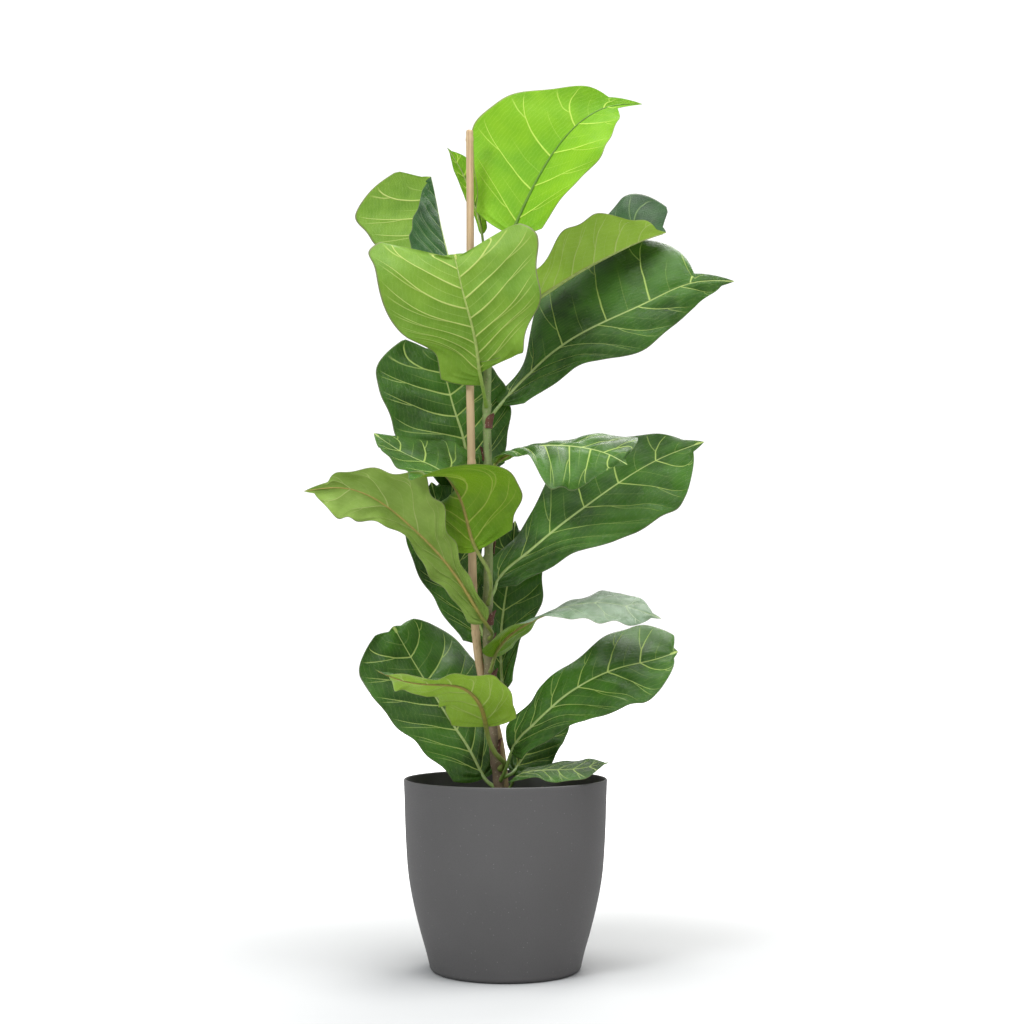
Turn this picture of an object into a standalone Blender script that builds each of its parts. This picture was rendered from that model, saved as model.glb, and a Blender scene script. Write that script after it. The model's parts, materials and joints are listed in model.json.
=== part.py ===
"""Fiddle leaf fig in a tapered planter, with a support cane beside its stem.

Metres, +Z up. The origin is the centre of the planter's underside. The plant's front faces -Y.
"""

from math import cos, pi, radians, sin

import bpy
import numpy as np
from mathutils import Vector

# Driving dimensions
GAP = 0.0003                # clearance between neighbouring pieces
POT_HEIGHT = 0.232
POT_RIM_RADIUS = 0.125
POT_WALL = 0.003
POT_FLOOR = 0.005
POT_SIDES = 56
SOIL_TOP = 0.200
STEM_FOOT_RADIUS = 0.0062
STEM_TOP_RADIUS = 0.0046
CANE_RADIUS = 0.0052
STALK_RADIUS = 0.0021
RIB_DEPTH = 0.0022          # the midrib under the blade, at the blade's base
RIB_TIP_DEPTH = 0.0007
BLADE_THICKNESS = 0.0012
TIP_HALF = 0.0012           # half the width of the blade's tip
TAIL = 0.05                 # share of the blade's length in its pointed tip, unless a leaf gives its own
EARS = 0.012                # how far the blade's base reaches back beside the stalk, likewise
LEAST_DROOP = 0.05          # degrees
STALK_STEPS = 4
BLADE_STEPS = 14
ACROSS = (-1.0, -0.5, 0.0, 0.5, 1.0)    # margin, half blade, midrib, half blade, margin

# The centre lines of the stem and the cane, from the soil up
STEM_LINE = [
    (-0.006, 0.000, 0.160), (-0.006, 0.000, 0.205), (-0.014, 0.000, 0.266), (-0.018, 0.002, 0.328),
    (-0.022, 0.003, 0.402), (-0.021, 0.002, 0.501), (-0.022, 0.000, 0.612), (-0.023, -0.002, 0.719),
    (-0.018, -0.002, 0.813), (-0.012, -0.002, 0.868),
]
CANE_LINE = [
    (-0.001, 0.0135, 0.150), (-0.001, 0.0135, 0.205), (-0.011, 0.016, 0.290), (-0.028, 0.012, 0.350),
    (-0.036, 0.001, 0.402), (-0.040, -0.010, 0.465), (-0.042, -0.014, 0.611), (-0.044, -0.014, 0.713),
    (-0.044, -0.014, 0.899), (-0.045, -0.014, 1.037),
]

# Half the planter's outer profile: height and radius, from the rim down
POT_OUTSIDE = [
    (0.232, 0.1250), (0.205, 0.1238), (0.180, 0.1232), (0.143, 0.1213), (0.119, 0.1195), (0.094, 0.1150),
    (0.069, 0.1096), (0.0445, 0.1034), (0.020, 0.0960), (0.008, 0.0930),
]
POT_FOOT_ROUND = 0.007

# One entry for each leaf. "node" is the height where its stalk leaves the stem, "stalk" the points
# from there to the blade and "rib" those along the midrib. "top" is where the upper side faces, from
# the blade's base to its tip. "half" is the widest reach of the left and the right half, seen from
# the base with the upper side up, and "lift" the angle by which each half rises, at base and tip.
LEAVES = {
    "leaf_01_crown": dict(
        node=0.835, stalk=[(-0.004, -0.008, 0.876)],
        rib=[(0.010, -0.004, 0.914), (0.031, 0.004, 0.962), (0.064, 0.014, 1.021), (0.097, 0.022, 1.059),
             (0.130, 0.030, 1.079), (0.175, 0.040, 1.086)],
        top=[(0, 1, 0), (0.1, 1, 0), (0.1, 1, -0.2)], half=(0.070, 0.092), lift=((-40, -40), (5, 5)),
        waist=(0.50, 0.52), blunt=(3.5, 2.0), peak=(0.55, 0.42), tail=0.14),
    "leaf_02_young": dict(
        node=0.850, stalk=[(-0.027, 0.012, 0.891)],
        rib=[(-0.031, 0.015, 0.920), (-0.043, 0.020, 0.962), (-0.055, 0.022, 0.993), (-0.074, 0.020, 1.024)],
        top=[(0.3, 0.5, 0.2)], half=(0.018, 0.018), lift=((30, 30), (30, 30)),
        waist=(0.4, 0.4), blunt=(2.5, 2.5), peak=(0.5, 0.5)),
    "leaf_03_top_left": dict(
        node=0.804, stalk=[(-0.043, 0.030, 0.841)],
        rib=[(-0.065, 0.050, 0.871), (-0.076, 0.070, 0.903), (-0.085, 0.090, 0.941), (-0.092, 0.110, 0.978),
             (-0.099, 0.120, 1.012)],
        top=[(1, 0, 0.3), (1, 0, 0), (1, 0, -0.1)], half=(0.060, 0.120), lift=((-25, -25), (-60, -60)),
        waist=(0.45, 0.45), blunt=(5, 5), peak=(0.65, 0.65), reach=(0.0, 0.05), tail=0.03),
    "leaf_04_top_right": dict(
        node=0.765, stalk=[(-0.001, 0.020, 0.801)],
        rib=[(0.037, 0.035, 0.832), (0.089, 0.050, 0.868), (0.138, 0.065, 0.897), (0.180, 0.075, 0.918),
             (0.208, 0.080, 0.928)],
        top=[(-0.35, 0.3, 0.88)], half=(0.090, 0.100), lift=((55, 65), (60, 60)),
        waist=(0.5, 0.5), blunt=(4, 4), peak=(0.6, 0.6)),
    "leaf_05_top_front": dict(
        node=0.690, stalk=[(-0.027, -0.024, 0.707)],
        rib=[(-0.031, -0.040, 0.727), (-0.035, -0.055, 0.756), (-0.043, -0.066, 0.792),
             (-0.053, -0.068, 0.829), (-0.060, -0.060, 0.862), (-0.066, -0.030, 0.883)],
        top=[(0.2, 1, 0.3), (0.1, 1, 0), (0.1, 1, 0.6)], half=(0.105, 0.118), lift=((10, 10), (10, 10)),
        waist=(0.42, 0.42), blunt=(5, 5), peak=(0.75, 0.75), reach=(0.06, 0.10)),
    "leaf_06_high_right": dict(
        node=0.676, stalk=[(-0.011, 0.012, 0.690)],
        rib=[(-0.002, 0.021, 0.702), (0.023, 0.034, 0.730), (0.065, 0.044, 0.770), (0.114, 0.052, 0.801),
             (0.184, 0.055, 0.834), (0.240, 0.050, 0.857), (0.291, 0.040, 0.857)],
        top=[(-0.3, -0.8, 0.5), (0, -0.9, 0.3)], half=(0.145, 0.057), lift=((0, 0), (0, 0)), droop=-20,
        waist=(0.08, 0.60), blunt=(3, 4), peak=(0.60, 0.70), tail=0.12, ears=0.004),
    "leaf_07_high_left": dict(
        node=0.586, stalk=[(-0.032, 0.014, 0.596)],
        rib=[(-0.040, 0.022, 0.607), (-0.054, 0.026, 0.657), (-0.066, 0.026, 0.695), (-0.074, 0.026, 0.725),
             (-0.089, 0.028, 0.770)],
        top=[(0.2, -0.95, 0.1)], half=(0.092, 0.055), lift=((0, 0), (10, 10)),
        waist=(0.6, 0.6), blunt=(5, 5), peak=(0.65, 0.65)),
    "leaf_08_arched": dict(
        node=0.607, stalk=[(-0.014, -0.014, 0.616)],
        rib=[(-0.007, -0.022, 0.624), (0.018, -0.035, 0.635), (0.048, -0.050, 0.638),
             (0.102, -0.070, 0.632), (0.128, -0.085, 0.622), (0.145, -0.095, 0.611)],
        top=[(-0.3, 0.3, 0.9), (0, -0.3, 0.7), (0, -0.7, 0.7)], half=(0.045, 0.075),
        lift=((0, 0), (-15, -15)),
        waist=(0.4, 0.2), blunt=(4, 4), peak=(0.7, 0.7)),
    "leaf_09_cupped": dict(
        node=0.446, stalk=[(-0.019, -0.024, 0.480)],
        rib=[(-0.036, -0.041, 0.517), (-0.047, -0.052, 0.560), (-0.070, -0.056, 0.597),
             (-0.115, -0.045, 0.615), (-0.162, -0.022, 0.659)],
        top=[(0, 1, 0), (0.1, 0.6, 0.6), (0.3, 0.3, 0.9)], half=(0.090, 0.060), lift=((0, 10), (20, 40)),
        waist=(0.6, 0.6), blunt=(5, 5), peak=(0.5, 0.5)),
    "leaf_10_middle_right": dict(
        node=0.455, stalk=[(-0.014, 0.012, 0.463)],
        rib=[(-0.011, 0.020, 0.472), (0.029, 0.040, 0.512), (0.057, 0.050, 0.536), (0.105, 0.060, 0.573),
             (0.150, 0.070, 0.605), (0.200, 0.075, 0.634), (0.255, 0.075, 0.655)],
        top=[(-0.35, -0.85, 0.4)], half=(0.092, 0.080), lift=((0, 0), (0, 0)),
        waist=(0.3, 0.4), blunt=(3, 4), peak=(0.7, 0.7)),
    "leaf_11_middle_left": dict(
        node=0.402, stalk=[(-0.016, -0.014, 0.408), (-0.019, -0.027, 0.415)],
        rib=[(-0.027, -0.037, 0.427), (-0.056, -0.050, 0.474), (-0.087, -0.060, 0.513),
             (-0.115, -0.070, 0.540), (-0.143, -0.075, 0.563), (-0.186, -0.078, 0.583),
             (-0.242, -0.070, 0.581)],
        top=[(0.2, 0.95, 0.2)], half=(0.060, 0.036), lift=((0, 0), (-30, -30)),
        waist=(0.35, 0.50), blunt=(4, 4), peak=(0.6, 0.8), tail=0.10),
    "leaf_12_behind_left": dict(
        node=0.383, stalk=[(-0.026, 0.014, 0.392)],
        rib=[(-0.027, 0.020, 0.401), (-0.042, 0.030, 0.436), (-0.061, 0.035, 0.479), (-0.074, 0.040, 0.521),
             (-0.094, 0.040, 0.600)],
        top=[(0.3, -0.9, 0.2)], half=(0.045, 0.045), lift=((0, 0), (0, 0)),
        waist=(0.5, 0.5), blunt=(4, 4), peak=(0.6, 0.6), ears=0.003),
    "leaf_13_level_right": dict(
        node=0.362, stalk=[(-0.015, -0.015, 0.375)],
        rib=[(-0.009, -0.025, 0.392), (0.024, -0.045, 0.422), (0.066, -0.060, 0.440), (0.125, -0.075, 0.446),
             (0.186, -0.080, 0.428)],
        top=[(-0.3, 0.3, 0.9), (0, -0.2, 0.9), (0, -0.3, 0.9)], half=(0.050, 0.050), lift=((0, 0), (0, 0)),
        waist=(0.4, 0.4), blunt=(4, 4), peak=(0.7, 0.7)),
    "leaf_14_back": dict(
        node=0.321, stalk=[(-0.006, 0.012, 0.330)],
        rib=[(-0.004, 0.024, 0.343), (-0.006, 0.045, 0.389), (-0.001, 0.066, 0.451), (0.007, 0.078, 0.502),
             (0.012, 0.082, 0.554)],
        top=[(-0.2, -0.95, 0.1)], half=(0.050, 0.050), lift=((0, 0), (0, 0)),
        waist=(0.5, 0.5), blunt=(4, 4), peak=(0.6, 0.6), ears=0.004),
    "leaf_15_low_front": dict(
        node=0.243, stalk=[(-0.002, -0.010, 0.248), (-0.010, -0.029, 0.262), (-0.021, -0.041, 0.285)],
        rib=[(-0.024, -0.055, 0.304), (-0.031, -0.075, 0.328), (-0.050, -0.095, 0.347),
             (-0.086, -0.115, 0.352), (-0.120, -0.130, 0.357), (-0.151, -0.130, 0.369)],
        top=[(0.1, 0.8, 0.5), (0, 0.35, 0.9), (0, 0.15, 1)], half=(0.048, 0.060), lift=((0, 0), (0, 0)),
        waist=(0.8, 0.8), blunt=(3, 3), peak=(0.4, 0.4), tail=0.15, ears=0.004),
    "leaf_16_low_behind": dict(
        node=0.232, stalk=[(0.006, 0.006, 0.236)],
        rib=[(0.014, 0.020, 0.243), (0.034, 0.036, 0.272), (0.070, 0.048, 0.308), (0.117, 0.052, 0.345)],
        top=[(-0.3, -0.7, 0.6)], half=(0.040, 0.040), lift=((0, 0), (0, 0)),
        waist=(0.4, 0.4), blunt=(4, 4), peak=(0.65, 0.65), ears=0.004),
    "leaf_17_low_left": dict(
        node=0.220, stalk=[(-0.022, 0.004, 0.227)],
        rib=[(-0.029, 0.008, 0.236), (-0.043, 0.015, 0.262), (-0.063, 0.025, 0.292), (-0.093, 0.040, 0.337),
             (-0.112, 0.050, 0.366), (-0.142, 0.050, 0.418)],
        top=[(0.3, -0.8, 0.5)], half=(0.092, 0.085), lift=((0, 0), (0, 0)), droop=-20,
        waist=(0.30, 0.35), blunt=(5, 5), peak=(0.6, 0.6), reach=(0.0, 0.03), tail=0.03, ears=0.003),
    "leaf_18_low_right": dict(
        node=0.229, stalk=[(0.000, -0.016, 0.243)],
        rib=[(0.010, -0.030, 0.272), (0.035, -0.045, 0.301), (0.068, -0.055, 0.332), (0.098, -0.060, 0.352),
             (0.141, -0.060, 0.370), (0.177, -0.055, 0.378), (0.208, -0.050, 0.388)],
        top=[(-0.3, -0.7, 0.6)], half=(0.066, 0.060), lift=((0, 0), (0, 0)),
        waist=(0.5, 0.5), blunt=(8, 5), peak=(0.8, 0.8), reach=(0.02, 0.0), tail=0.03),
    "leaf_19_at_rim": dict(
        node=0.212, stalk=[(0.006, -0.013, 0.222)],
        rib=[(0.013, -0.030, 0.236), (0.042, -0.045, 0.245), (0.083, -0.060, 0.248), (0.124, -0.070, 0.257)],
        top=[(-0.1, -0.3, 0.95)], half=(0.035, 0.035), lift=((0, 0), (0, 0)),
        waist=(0.5, 0.5), blunt=(4, 4), peak=(0.6, 0.6)),
}

# Papery sheaths that the leaves leave at the stem: height, and the way they face in degrees from +X
SHEATHS = [
    (0.664, -40.0), (0.624, 150.0), (0.508, 60.0), (0.420, -20.0), (0.392, 20.0), (0.348, -15.0),
    (0.300, 10.0), (0.262, 20.0),
]
SHEATH_HEIGHT = 0.018
SHEATH_THICKNESS = 0.0008
# Share of the height, half angle round the stem, and how far the scale stands off
SHEATH_ROWS = [
    (0.0, 70.0, 0.0), (0.3, 66.0, 0.0002), (0.6, 48.0, 0.0012), (0.85, 26.0, 0.0024), (1.0, 8.0, 0.0034),
]
SHEATH_COLUMNS = 6

COLOURS = {
    "pot_grey": ((0.125, 0.123, 0.125, 1), 0.55, 0.0),
    "soil_brown": ((0.030, 0.018, 0.011, 1), 0.95, 0.0),
    "bark": ((0.200, 0.190, 0.090, 1), 0.75, 0.0),
    "cane_wood": ((0.560, 0.350, 0.240, 1), 0.70, 0.0),
    "leaf_dark": ((0.035, 0.110, 0.030, 1), 0.35, 0.0),
    "leaf_light": ((0.230, 0.440, 0.050, 1), 0.45, 0.0),
    "sheath_brown": ((0.160, 0.055, 0.035, 1), 0.80, 0.0),
}
LIGHT_LEAVES = {
    "leaf_01_crown", "leaf_02_young", "leaf_04_top_right", "leaf_05_top_front", "leaf_09_cupped",
    "leaf_11_middle_left", "leaf_15_low_front",
}


def clear_scene():
    for obj in list(bpy.data.objects):
        bpy.data.objects.remove(obj, do_unlink=True)


def new_collection(name, hidden=False):
    made = bpy.data.collections.new(name)
    made.hide_render = hidden
    bpy.context.scene.collection.children.link(made)
    return made


def finish_of(name):
    """The material of this name, made on first use."""
    made = bpy.data.materials.get(name)
    if made:
        return made
    colour, roughness, metallic = COLOURS[name]
    made = bpy.data.materials.new(name)
    made.use_nodes = True
    shader = made.node_tree.nodes["Principled BSDF"]
    shader.inputs["Base Color"].default_value = colour
    shader.inputs["Roughness"].default_value = roughness
    shader.inputs["Metallic"].default_value = metallic
    made.diffuse_color = colour
    return made


def place(name, data, finish, collection):
    data.materials.append(finish_of(finish))
    obj = bpy.data.objects.new(name, data)
    collection.objects.link(obj)
    return obj


def smooth_mesh(mesh, degrees=40.0):
    mesh.shade_smooth()
    mesh.set_sharp_from_angle(angle=radians(degrees))
    return mesh


# ---- smooth lines through points ----

def knots_of(points):
    steps = np.linalg.norm(np.diff(points, axis=0), axis=1)
    return np.concatenate([[0.0], np.cumsum(steps)])


def line_at(knots, values, where):
    """Natural cubic line through the values at the knots, read at each place in where."""
    count = len(knots)
    span = np.diff(knots)
    matrix = np.eye(count)
    right = np.zeros_like(values)
    for i in range(1, count - 1):
        matrix[i, i - 1:i + 2] = span[i - 1], 2 * (span[i - 1] + span[i]), span[i]
        right[i] = 6 * ((values[i + 1] - values[i]) / span[i] - (values[i] - values[i - 1]) / span[i - 1])
    bend = np.linalg.solve(matrix, right)
    i = np.clip(np.searchsorted(knots, where, side="right") - 1, 0, count - 2)
    width = span[i][:, None]
    b = (where - knots[i])[:, None] / width
    a = 1 - b
    curve = ((a**3 - a) * bend[i] + (b**3 - b) * bend[i + 1]) * width**2 / 6
    return a * values[i] + b * values[i + 1] + curve


def spread(values, where):
    """Values given at equal steps from base to tip, read smoothly at each place from 0 to 1."""
    values = np.atleast_2d(np.array(values, float))
    if len(values) == 1:
        values = np.repeat(values, 2, axis=0)
    return line_at(np.linspace(0, 1, len(values)), values, where)


def line_points(line, count):
    points = np.array(line)
    knots = knots_of(points)
    return line_at(knots, points, np.linspace(0, knots[-1], count))


def unit(vectors):
    return vectors / np.linalg.norm(vectors, axis=-1, keepdims=True)


def stem_at(height):
    """Centre and radius of the stem at this height."""
    line = line_points(STEM_LINE, 400)
    i = int(np.argmin(np.abs(line[:, 2] - height)))
    along = i / 399
    return line[i], STEM_FOOT_RADIUS + (STEM_TOP_RADIUS - STEM_FOOT_RADIUS) * along


# ---- leaves ----

def ease(x):
    x = np.clip(x, 0, 1)
    return x * x * (3 - 2 * x)


def outline(u, waist, blunt, peak, tail):
    """Half width of a fiddle-shaped blade, from 0 to 1, at u from base to tip."""
    q = np.clip(u / (1 - tail), 0, 1)
    lobe = 0.12 * np.exp(-(((q - 0.07) / 0.09) ** 2))
    body = waist + (1 - waist) * ease((q - 0.2) / (peak - 0.2)) + lobe
    main = np.sqrt(np.clip(q / 0.05, 0, 1)) * body * np.sqrt(np.clip(1 - q**blunt, 0, 1))
    point = 0.22 * np.clip((1 - u) / (2 * tail), 0, 1) ** 0.8 * ease((u - 1 + 3 * tail) / tail)
    return np.maximum(main, point)


def leaf_spine(leaf):
    """Start on the stem, all points of the stalk and midrib, and the length where the blade starts."""
    centre, radius = stem_at(leaf["node"])
    away = np.array(leaf["stalk"][0]) - centre
    away[2] = 0
    away = unit(away)
    start = centre + away * (radius + 2 * GAP)
    points = np.array([start, *leaf["stalk"], *leaf["rib"]])
    knots = knots_of(points)
    return away, points, knots, knots[1 + len(leaf["stalk"])]


def frame_along(points, knots, at, top, u):
    """Centre, direction, upper side and right-hand side of the leaf at each place."""
    step = 1e-4
    centre = line_at(knots, points, at)
    ahead = line_at(knots, points, np.clip(at + step, 0, knots[-1]))
    behind = line_at(knots, points, np.clip(at - step, 0, knots[-1]))
    along = unit(ahead - behind)
    up = spread(top, u)
    up = unit(up - (up * along).sum(axis=1, keepdims=True) * along)
    return centre, along, up, np.cross(along, up)


def blade_lines(leaf, u, centre, along, up, right):
    """The blade's middle surface and its upper normals along each line from base to tip."""
    ears, reach = leaf.get("ears", EARS), leaf.get("reach", (0, 0))
    tail = leaf.get("tail", TAIL)
    bend = radians(leaf.get("droop", LEAST_DROOP))
    lines, normals = [], []
    for v in ACROSS:
        side = int(v > 0)
        q = abs(v)
        wide = outline(u, leaf["waist"][side], leaf["blunt"][side], leaf["peak"][side], tail)
        lift = radians(1) * spread(np.array(leaf["lift"][side])[:, None], u)[:, 0]
        out = (np.sin(lift + bend * q) - np.sin(lift)) / bend
        rise = (np.cos(lift) - np.cos(lift + bend * q)) / bend
        size = np.maximum(wide * leaf["half"][side], TIP_HALF)
        ahead = reach[side] * q**1.3 * ease((u - 0.4) / 0.6) * np.minimum(1, 2.5 * wide)
        ahead -= 2 * ears * q**1.5 * np.exp(-((u / 0.1) ** 2))
        hand = np.sign(v) * right
        aside = (size * out)[:, None] * hand + (size * rise)[:, None] * up
        lines.append(centre + aside + ahead[:, None] * along)
        slope = (lift + bend * q)[:, None]
        normals.append(np.cos(slope) * up - np.sin(slope) * hand)
    return lines, normals


def leaf_rings(leaf):
    """Closed rings of eight points each, round along the stalk and flat along the blade."""
    away, points, knots, blade_start = leaf_spine(leaf)
    rings = []
    at = np.linspace(0, blade_start, STALK_STEPS, endpoint=False)
    centre, along, up, right = frame_along(points, knots, at, leaf["top"], np.zeros(STALK_STEPS))
    right[0] = unit(np.cross(away, up[0]))
    up[0] = unit(np.cross(right[0], away))
    for i in range(STALK_STEPS):
        angles = [pi - k * pi / 4 for k in range(8)]
        rings.append([centre[i] + STALK_RADIUS * (cos(a) * right[i] + sin(a) * up[i]) for a in angles])
    u = (1 - np.cos(np.linspace(0.12, pi, BLADE_STEPS))) / 2
    frame = frame_along(points, knots, blade_start + u * (knots[-1] - blade_start), leaf["top"], u)
    lines, normals = blade_lines(leaf, u, *frame)
    thin = BLADE_THICKNESS / 2 * np.minimum(1, 3 * (1 - u) + 0.3)
    deep = RIB_DEPTH + (RIB_TIP_DEPTH - RIB_DEPTH) * u
    for i in range(BLADE_STEPS):
        upper = [lines[k][i] + thin[i] * normals[k][i] for k in (1, 2, 3)]
        lower = [lines[3][i] - thin[i] * normals[3][i], lines[2][i] - deep[i] * normals[2][i],
                 lines[1][i] - thin[i] * normals[1][i]]
        rings.append([lines[0][i], *upper, lines[4][i], *lower])
    return rings


def loft(name, rings):
    """One closed mesh through rings of an even number of points, the upper half of each first.

    The upper and lower side split along the same diagonals, so that a thin blade never crosses itself.
    """
    size = len(rings[0])
    points = [tuple(point) for ring in rings for point in ring]
    faces = [tuple(range(size))[::-1]]
    for i in range(len(rings) - 1):
        for k in range(size):
            a, b = i * size + k, i * size + (k + 1) % size
            if k < size / 2:
                faces += [(a, b, b + size), (a, b + size, a + size)]
            else:
                faces += [(a, b, a + size), (b, b + size, a + size)]
    last = (len(rings) - 1) * size
    faces.append(tuple(range(last, last + size)))
    mesh = bpy.data.meshes.new(name)
    mesh.from_pydata(points, [], faces)
    return smooth_mesh(mesh)


def make_leaves(collection):
    for name, leaf in LEAVES.items():
        finish = "leaf_light" if name in LIGHT_LEAVES else "leaf_dark"
        place(name, loft(name, leaf_rings(leaf)), finish, collection)


# ---- stem, cane, sheaths and bud ----

def rod(name, line, radii, finish, collection, count, sides):
    """A round rod along a smooth line, its radius changing evenly from foot to top."""
    data = bpy.data.curves.new(name, "CURVE")
    data.dimensions = "3D"
    data.bevel_depth = 1.0
    data.bevel_resolution = sides
    data.use_fill_caps = True
    spline = data.splines.new("POLY")
    spline.points.add(count - 1)
    for i, point in enumerate(line_points(line, count)):
        spline.points[i].co = (*point, 1)
        spline.points[i].radius = radii[0] + (radii[1] - radii[0]) * i / (count - 1)
    return place(name, data, finish, collection)


def make_sheath(index, height, facing, collection):
    """A papery scale that wraps part of the stem and stands away from it at its tip."""
    points, faces = [], []
    for share, spread_angle, stand_off in SHEATH_ROWS:
        centre, radius = stem_at(height + share * SHEATH_HEIGHT)
        for k in range(SHEATH_COLUMNS):
            turn = radians(facing + spread_angle * (2 * k / (SHEATH_COLUMNS - 1) - 1))
            reach = radius + 3 * GAP + stand_off
            rise = height + share * SHEATH_HEIGHT
            points.append((centre[0] + reach * cos(turn), centre[1] + reach * sin(turn), rise))
    for i in range(len(SHEATH_ROWS) - 1):
        for k in range(SHEATH_COLUMNS - 1):
            a = i * SHEATH_COLUMNS + k
            faces.append((a, a + 1, a + 1 + SHEATH_COLUMNS, a + SHEATH_COLUMNS))
    name = f"bud_sheath_{index}"
    mesh = bpy.data.meshes.new(name)
    mesh.from_pydata(points, [], faces)
    obj = place(name, smooth_mesh(mesh), "sheath_brown", collection)
    shell = obj.modifiers.new("thickness", "SOLIDIFY")
    shell.thickness = SHEATH_THICKNESS
    shell.offset = 1


def make_bud(collection):
    """The pointed bud at the top of the stem."""
    top, radius = np.array(STEM_LINE[-1]), STEM_TOP_RADIUS
    profile = [(0.0, 0.022), (0.0008, 0.0215), (0.0022, 0.016), (0.0036, 0.008), (radius, 0.0), (0.0, 0.0)]
    bud = turned("terminal_bud", profile, 12, "leaf_light", collection)
    bud.location = top + np.array([0, 0, 3 * GAP])
    return bud


# ---- planter and soil ----

def turned(name, profile, steps, finish, collection):
    """A solid turned about its own Z axis from (radius, height) points, its outer side running down."""
    mesh = bpy.data.meshes.new(name)
    edges = [(i, i + 1) for i in range(len(profile) - 1)]
    mesh.from_pydata([(r, 0, z) for r, z in profile], edges, [])
    obj = place(name, mesh, finish, collection)
    screw = obj.modifiers.new("turn", "SCREW")
    screw.steps = screw.render_steps = steps
    screw.use_merge_vertices = True
    screw.merge_threshold = 0.00005
    screw.use_smooth_shade = True
    return obj


def pot_radius(height):
    heights = [z for z, _ in POT_OUTSIDE][::-1]
    return float(np.interp(height, heights, [r for _, r in POT_OUTSIDE][::-1]))


def make_planter(collection):
    lip = POT_WALL / 2
    inside = [(0.0, POT_FLOOR), (pot_radius(0.02) - POT_WALL - 0.006, POT_FLOOR)]
    for height in (0.012, 0.045, 0.094, 0.119, 0.180, POT_HEIGHT - lip):
        inside.append((pot_radius(height) - POT_WALL, height))
    rim = [(POT_RIM_RADIUS - lip - lip * cos(a), POT_HEIGHT - lip + lip * sin(a))
           for a in (pi / 4, pi / 2, 3 * pi / 4)]
    outside = [(r, z) for z, r in POT_OUTSIDE]
    outside[0] = (POT_RIM_RADIUS, POT_HEIGHT - lip)
    foot_radius = outside[-1][0] - POT_FOOT_ROUND
    foot = [(foot_radius + POT_FOOT_ROUND * cos(a), POT_FOOT_ROUND - POT_FOOT_ROUND * sin(a))
            for a in (pi / 8, pi / 4, 3 * pi / 8, pi / 2)]
    turned("planter", inside + rim + outside + foot + [(0.0, 0.0)], POT_SIDES, "pot_grey", collection)


def make_soil(collection, cutters):
    """The potting soil, slightly raised round the stem, with a hole for the stem and one for the cane."""
    clear = POT_WALL + 2 * GAP
    edge = pot_radius(SOIL_TOP) - clear
    bottom = POT_FLOOR + 2 * GAP
    profile = [(0.0, SOIL_TOP + 0.004), (0.045, SOIL_TOP + 0.003), (0.085, SOIL_TOP)]
    profile += [(edge, SOIL_TOP - 0.002)]
    profile += [(pot_radius(z) - clear, z) for z in (0.160, 0.094, 0.045)]
    profile += [(pot_radius(0.012) - clear, 0.013), (pot_radius(0.02) - clear - 0.008, bottom)]
    profile += [(0.0, bottom)]
    soil = turned("potting_soil", profile, POT_SIDES, "soil_brown", collection)
    stem_hole = ("stem_hole", STEM_LINE, STEM_FOOT_RADIUS)
    cane_hole = ("cane_hole", CANE_LINE, CANE_RADIUS)
    for name, line, radius in (stem_hole, cane_hole):
        foot = Vector(line[0])
        height = 0.08
        bpy.ops.mesh.primitive_cylinder_add(vertices=16, radius=radius + 4 * GAP, depth=height)
        cutter = bpy.context.object
        cutter.name = name
        cutter.location = (foot.x, foot.y, foot.z - 2 * GAP + height / 2)
        cutter.hide_render = True
        cutter.display_type = "WIRE"
        for owner in list(cutter.users_collection):
            owner.objects.unlink(cutter)
        cutters.objects.link(cutter)
        cut = soil.modifiers.new(name, "BOOLEAN")
        cut.operation = "DIFFERENCE"
        cut.object = cutter


def main():
    clear_scene()
    plant = new_collection("potted_fiddle_leaf_fig")
    cutters = new_collection("cutters", hidden=True)
    make_planter(plant)
    make_soil(plant, cutters)
    rod("stem", STEM_LINE, (STEM_FOOT_RADIUS, STEM_TOP_RADIUS), "bark", plant, 24, 3)
    rod("support_cane", CANE_LINE, (CANE_RADIUS, CANE_RADIUS * 0.85), "cane_wood", plant, 16, 3)
    make_bud(plant)
    make_leaves(plant)
    for index, (height, facing) in enumerate(SHEATHS, start=1):
        make_sheath(index, height, facing, plant)


main()
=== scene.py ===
import json
from math import cos, pi, radians, sin

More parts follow.
